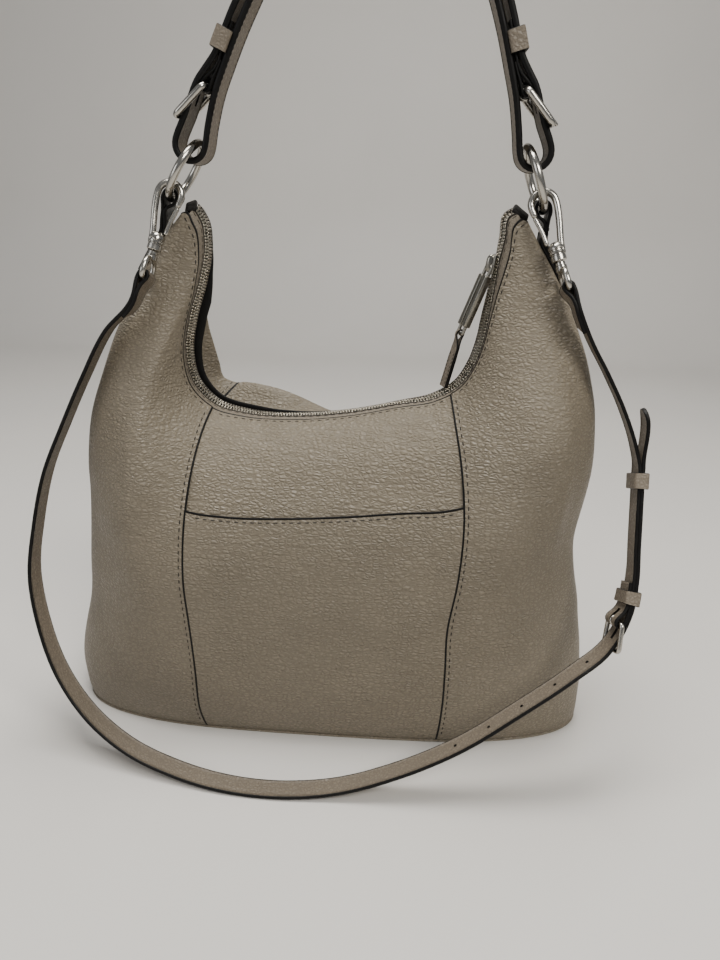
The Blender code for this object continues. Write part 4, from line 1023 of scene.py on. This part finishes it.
# ---- shoulder strap ------------------------------------------------------------------------------
loop_ends = []
for k, sign in enumerate((1, -1)):   # where each loop's inner leg starts, and a point further up that leg
    middle = np.array([ring_centre[k][0] + sign * (RING_R * math.sin(RING_LEAN[k]) - LOOP_OUT[k]), LOOP_FOOT])
    c, d = math.cos(LOOP_TILT[k]), math.sin(LOOP_TILT[k])
    leg = middle + LOOP_HALF * np.array([sign * c, -d])
    loop_ends += [leg, leg + .011 * np.array([sign * d, c])]
arch_pts = loop_ends[:2] + ARCH + loop_ends[:1:-1]
arch = Lay([(x, 0, z) for x, z in arch_pts], across=(0, -1, 0))
END = arch.length
HEEL, TIP = 31 * MM, 84 * MM


def tongue(l):
    return np.interp(l, [0, 5 * MM, 13 * MM, 22 * MM, 31 * MM, 39 * MM, 46 * MM, 50 * MM],
                     np.array([2 * LOOP_HALF / MM, 16.7, 14.3, 12.7, 11.6, 9.0, 7.1, 6.4]) * MM)


out_leg = [(l, float(tongue(l))) for l in np.linspace(TIP, 0, 19)]
turn = arc((0, LOOP_HALF), LOOP_HALF, 90, 270, 11)[1:]
span = stretch(0, END, 0, step=.0105)[1:]
turn2 = [(END - a, b) for a, b in reversed(turn[:-1])] + [(END, 2 * LOOP_HALF)]
back_leg = [(END - l, n) for l, n in reversed(out_leg)][1:]
line = out_leg + turn + span + turn2 + back_leg
parts = ribbon(arch, line, STRAP_HALF, STRAP_T, wrap=1.3 * MM, swell=.3 * MM, tips=(True, True))
for w in (-8.1, 8.1):
    parts.append(threads(arch, 68 * MM, END - 68 * MM, STRAP_T / 2 + .02 * MM, w * MM))
    parts.append(threads(arch, 4 * MM, END - 4 * MM, -STRAP_T / 2 - .02 * MM, w * MM, lift=-1))
strap = piece("shoulder_strap_leather", parts, "handle", ["shoulder_strap"])

for left, name in ((True, "left"), (False, "right")):
    m = (lambda l: l) if left else (lambda l: END - l)
    heel, far = (HEEL, 6.3 * MM), (13.0 * MM, 18.0 * MM)
    bar, pr = 1.7 * MM, 1.1 * MM
    reach, e = towards(heel, far)
    f = (-e[1], e[0]) if e[0] > 0 else (e[1], -e[0])       # outward from the frame's plane
    cut(strap, *lay_block(arch, *sorted((m(20 * MM), m(36 * MM))), 7.4 * MM, 16.5 * MM, 1.6 * MM))
    pts = buckle_points(arch, heel, e, reach, STRAP_HALF + .5 * MM + bar, 2.6 * MM, m)
    hardware("handle_buckle_frame_" + name, [wire(pts, bar + .3 * MM, True, 20)], "handle",
             "handle_buckle_" + name)
    r = bar + GAP + .6 * MM
    line = (stretch(46 * MM, HEEL, 2.4 * MM, heel[1] - r, step=.005)
            + arc(heel, r, 270, 90, 9)[1:] + stretch(HEEL, 43 * MM, heel[1] + r, 3.9 * MM, step=.003)[1:]
            + stretch(43 * MM, 66 * MM, 3.9 * MM, step=.008)[1:])
    line = [(m(a), b) for a, b in line]
    parts = ribbon(arch, line, STRAP_HALF - 1 * MM, 1.2 * MM, step=1.4 * MM, face=DARK)
    chape = piece("handle_chape_leather_" + name, parts, "handle", ["handle_chape_" + name])
    cut(chape, *lay_block(arch, *sorted((m(24 * MM), m(38.5 * MM))), .7 * MM, 12 * MM, 1.8 * MM))
    pts = prong_points(arch, heel, e, f, bar + GAP + .25 * MM + pr, reach + 2.2 * MM, m)
    hardware("handle_prong_bar_" + name, [wire(pts, pr)], "handle_prong_" + name, "handle_prong_" + name)
    l0, l1 = sorted((m(50 * MM), m(61.5 * MM)))
    parts = keeper(arch, l0, l1, 2.4 * MM, 9.4 * MM, STRAP_HALF + .5 * MM, 1.3 * MM)
    piece("handle_keeper_leather_" + name, parts, "handle", ["handle_keeper_" + name])

# ---- crossbody strap -----------------------------------------------------------------------------
hooks = []
for k, slant in enumerate(HOOK_SLANT):
    foot = np.array([RING_FOOT_X[k], 0, RING_FOOT_Z[k]])
    up = np.array([(1 - 2 * k) * math.sin(RING_LEAN[k]), 0, math.cos(RING_LEAN[k])])
    top = foot + up * (RING_R - math.sqrt(RING_R ** 2 - HOOK_Y ** 2)) + np.array([0, HOOK_Y, 0])
    top[2] = AXIS_Z - 6.2 * MM
    s, d = math.radians(slant), math.radians(HOOK_TIP)
    down = unit([math.sin(s), -math.sin(d), -math.cos(s) * math.cos(d)])
    w = unit(SY - down * down[1])
    centre = top + np.array([0, 0, -7 * MM])
    hooks.append(dict(down=down, w=w, x=np.cross(w, -down), top=centre - down * 7 * MM))


def in_hook(h, x, y, z):
    return h["top"] + h["x"] * x + h["w"] * y - h["down"] * z


EYE_FOOT, BAR_X = -57 * MM, 1.7 * MM
hang = CROSS_T / 2 + GAP + BAR_X
ends = []
for k, h in enumerate(hooks):
    t = h["down"] if k == 0 else -h["down"]
    ends.append((in_hook(h, 0, 0, EYE_FOOT), t, np.cross(h["w"], t)))
start = ends[0][0] + ends[0][2] * hang
stop = ends[1][0] + ends[1][2] * (1.9 * MM + hang)   # the short strap lies just inside the long strap's line
run = [start, start + ends[0][1] * .014] + [np.array(q) for q in CROSS_RUN] + [stop - ends[1][1] * .014, stop]
cross = Lay(run)
XL = cross.length


def nearest(lay, point):
    return float(lay.l[np.argmin(np.linalg.norm(lay.p - np.asarray(point), axis=1))])


X_HEEL, X_SLIDE = nearest(cross, (.1800, -.0710, .1140)), nearest(cross, (.1868, -.0405, .1960))
X_TIP = X_SLIDE + 42 * MM
left_eye = (stretch(25 * MM, 9 * MM, -1.9 * MM, step=.008)
            + stretch(9 * MM, 0, -1.9 * MM, -2 * hang, step=.003)[1:]
            + arc((0, -hang), hang, 270, 90, 9)[1:])
tail = stretch(0, X_SLIDE + 6 * MM, 0, step=.0125)[1:] \
    + stretch(X_SLIDE + 6 * MM, X_TIP, 0, 9.5 * MM, step=.006)[1:]
SLOT, x_bar, x_pr = 1.35 * MM, 1.5 * MM, .9 * MM
heel_n = -1.9 * MM - (CROSS_T / 2 + GAP + x_bar)
x_heel, x_far = (X_HEEL, heel_n), (X_HEEL - 15.5 * MM, CROSS_T / 2 + GAP + x_bar)
parts = ribbon(cross, left_eye + tail, CROSS_HALF, CROSS_T + .25 * MM, wrap=.95 * MM,
               swell=.25 * MM, tips=(False, True))
parts.append(threads(cross, 12 * MM, 22 * MM, CROSS_T / 2 + .02 * MM, 0, 2.6 * MM))
long_strap = piece("crossbody_long_strap_leather", parts, "crossbody",
                   ["crossbody_long_strap"])
cut(long_strap, *lay_block(cross, X_HEEL - 11 * MM, X_HEEL + 3.5 * MM, -2 * MM, 2 * MM, SLOT))
for k in range(5):
    l = X_HEEL - (32 + 24 * k) * MM
    hole = [[cross.at(l + 1.1 * MM * math.cos(a), n, 1.1 * MM * math.sin(a))
             for a in np.linspace(0, 2 * math.pi, 16, endpoint=False)] for n in (-2 * MM, 2 * MM)]
    cut(long_strap, *sweep(hole))
x_r = x_bar + GAP + CROSS_T / 2
fold_line = (stretch(X_HEEL + 26 * MM, X_HEEL + 10 * MM, -3.8 * MM, step=.008)
             + stretch(X_HEEL + 10 * MM, X_HEEL, -3.8 * MM, heel_n - x_r, step=.0033)[1:]
             + arc(x_heel, x_r, 270, 90, 9)[1:]
             + stretch(X_HEEL, XL, -1.9 * MM, step=.0125)[1:]
             + arc((XL, -1.9 * MM - hang), hang, 90, -90, 9)[1:]
             + stretch(XL, XL - 9 * MM, -1.9 * MM - 2 * hang, -3.8 * MM, step=.003)[1:]
             + stretch(XL - 9 * MM, XL - 25 * MM, -3.8 * MM, step=.008)[1:])
parts = ribbon(cross, fold_line, CROSS_HALF, CROSS_T, step=1.6 * MM, wrap=.8 * MM, swell=.3 * MM)
short_strap = piece("crossbody_short_strap_leather", parts, "crossbody",
                    ["crossbody_short_strap"])
cut(short_strap, *lay_block(cross, X_HEEL - 6 * MM, X_HEEL + 8.5 * MM, -10 * MM, .5 * MM, 1.5 * MM))
x_reach, xe = towards(x_heel, x_far)
xf = (xe[1], -xe[0])
pts = buckle_points(cross, x_heel, xe, x_reach, CROSS_HALF + .4 * MM + x_bar, 2.2 * MM)
hardware("crossbody_buckle_frame", [wire(pts, x_bar, True, 20)], "crossbody", "crossbody_buckle")
pts = prong_points(cross, x_heel, xe, xf, x_bar + GAP + .2 * MM + x_pr, x_reach + 1.8 * MM)
hardware("crossbody_prong_bar", [wire(pts, x_pr)], "crossbody_prong", "crossbody_prong")
for name, body, l0, l1, n0, n1 in (
        ("crossbody_fixed_keeper", "crossbody", X_HEEL + 12.5 * MM, X_HEEL + 21 * MM, -5.2, 1.6),
        ("crossbody_sliding_keeper",) * 2 + (X_SLIDE - 4.8 * MM, X_SLIDE + 4.8 * MM, -4.0, 1.9)):
    parts = keeper(cross, l0, l1, n0 * MM, n1 * MM, CROSS_HALF + .5 * MM, 1.4 * MM)
    piece(name + "_leather", parts, body, [name])


# ---- snap hooks ----------------------------------------------------------------------------------
def turned(h, profile):
    """Part of a hook turned about its own axis, from (height, radius) pairs in mm."""
    return lathe(h["top"], -h["down"], h["x"], [(z * MM, r * MM) for z, r in profile])


for k, (h, name) in enumerate(zip(hooks, ("left", "right"))):
    side = 1 if k == 0 else -1           # the gate is on the side facing the bag
    # outlines in mm: heights are measured from where the hook hangs on its ring
    top_e, foot_e, half_e = -46.0, EYE_FOOT / MM, (CROSS_HALF + BAR_X) / MM + .4
    half_eye = [(top_e, 2.2), (top_e - .8, 6.2), (top_e - 3.2, 8.8), (top_e - 6, half_e),
                (foot_e + 1.6, half_e), (foot_e, half_e - 1.4)]
    eye = [in_hook(h, 0, -y * MM, z * MM) for z, y in half_eye]
    eye += [in_hook(h, 0, y * MM, z * MM) for z, y in half_eye[::-1]]
    swivel = ((-47.6, .4), (-47.2, 2.4), (-46.4, 3.2), (-43.6, 3.2), (-43.2, 2.8), (-41.6, 2.8), (-41.1, 2.4),
              (-41.0, .2))
    hardware("hook_eye_wire_" + name, [wire(spline(eye + eye[:1], 5)[:-1], BAR_X, True, 18),
                                       turned(h, swivel)], "crossbody", "hook_swivel_eye_" + name)
    line = [(6.6, -11.5)] + arc((0, -7), 7, 0, 180, 11)
    line += [(-6.6, -14), (-5.2, -22), (-3.6, -30), (-3.0, -36)]
    bend = spline(np.array(line) * (side * MM, MM), 6)
    thick = HOOK_WIRE * np.interp(np.linspace(0, 1, len(bend)), [0, .1, .5, .8, 1], [.86, 1, 1.04, .98, .9])
    collar = ((-40.7, .3), (-40.7, 3.9), (-40.3, 4.3), (-37.6, 4.3), (-37.2, 3.7), (-36.6, 3.7), (-36.2, 4.4),
              (-35.2, 4.5), (-34.8, 3.9), (-34.2, 3.9), (-33.7, 4.5), (-32.2, 4.3), (-31.0, 3.5),
              (-29.8, 2.2), (-29.4, .4))
    hardware("hook_bow_" + name, [wire([in_hook(h, x, 0, z) for x, z in bend], thick, False, 18),
                                  turned(h, collar)], "hook_" + name, "hook_" + name)
    line = np.array([(4.3, -29.2), (5.0, -22), (6.3, -15.5), (6.6, -14.0)]) * (side * MM, MM)
    hardware("hook_gate_bar_" + name, [wire([in_hook(h, x, 0, z) for x, z in spline(line, 5)], 1.3 * MM)],
             "hook_gate_" + name, "hook_gate_" + name)

# ---- CAD pieces whose shape is right: hidden lining and board, with their own finishes -----------
for name, mat, slot in (("lining_front", LINING, "lining"), ("lining_back", LINING, "lining"),
                        ("base_board", BOARD, "board")):
    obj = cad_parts[name]
    obj.data.materials.clear()
    obj.data.materials.append(mat)
    for poly in obj.data.polygons:
        poly.use_smooth = True

# ---- floor, light and camera ---------------------------------------------------------------------
def plain(name, rgb, rough):
    f = Finish(name, rgb, rough)
    f.link(f.mix(f.remap(f.noise(3, 3.0), .3, .7, 0, 1), tuple(c * .97 for c in rgb), rgb), "Base Color")
    return f.mat


FLOOR_RGB = (.62, .60, .57)
depth, width, wall, bend = 1.6, 6.0, 3.0, .35
turn = [math.radians(a) for a in range(0, 91, 6)]
profile = [(-3.0, 0)] + [(depth - bend + bend * math.sin(a), bend - bend * math.cos(a)) for a in turn] \
    + [(depth, wall)]
verts = [(x, y, z) for x in (-width / 2, width / 2) for y, z in profile]
mesh = bpy.data.meshes.new("studio_sweep")
mesh.from_pydata(verts, [], [tuple(f)[::-1] for f in grid_faces(2, len(profile))])
mesh.polygons.foreach_set("use_smooth", [True] * len(mesh.polygons))
mesh.materials.append(plain("studio_floor", FLOOR_RGB, .7))
floor = bpy.data.objects.new("studio_sweep", mesh)
bpy.context.scene.collection.objects.link(floor)


def lamp(name, at, aim, size, power, rgb=(1, 1, 1)):
    light = bpy.data.lights.new(name, "AREA")
    light.shape, light.size, light.size_y = "RECTANGLE", *size
    light.energy, light.color = power, rgb
    obj = bpy.data.objects.new(name, light)
    obj.location = at
    obj.rotation_euler = (Vector(aim) - Vector(at)).to_track_quat("-Z", "Y").to_euler()
    bpy.context.scene.collection.objects.link(obj)
    return obj


lamp("key", (.75, -1.05, 1.35), (0, 0, .18), (.7, .5), 20, (1, .965, .90))
lamp("fill", (-1.2, -.9, .75), (0, 0, .2), (.8, .8), 4.5, (.96, .97, 1))
lamp("top", (-.05, .05, 1.5), (0, 0, .2), (1.0, .5), 26, (1, .975, .93))
world = bpy.data.worlds.new("studio")
bpy.context.scene.world = world
world.use_nodes = True
world.node_tree.nodes["Background"].inputs["Color"].default_value = (.9, .92, .95, 1)
world.node_tree.nodes["Background"].inputs["Strength"].default_value = .28

PITCH, ROLL, YAW = math.radians(21), math.radians(-1.5), math.radians(3.4)
fwd = np.array([-math.sin(YAW) * math.cos(PITCH), math.cos(YAW) * math.cos(PITCH), -math.sin(PITCH)])
right = np.array([math.cos(YAW), math.sin(YAW), 0])
down = np.cross(fwd, right)
rolled = right * math.cos(ROLL) + down * math.sin(ROLL)
low = -right * math.sin(ROLL) + down * math.cos(ROLL)
lens = bpy.data.cameras.new("photo_camera")
lens.lens, lens.sensor_width, lens.clip_start = 27, 36, .02
camera = bpy.data.objects.new("photo_camera", lens)
bpy.context.scene.collection.objects.link(camera)
camera.matrix_world = Matrix([[rolled[i], -low[i], -fwd[i], (.042, -.459, .349)[i]] for i in range(3)]
                             + [[0, 0, 0, 1]])
bpy.context.scene.camera = camera
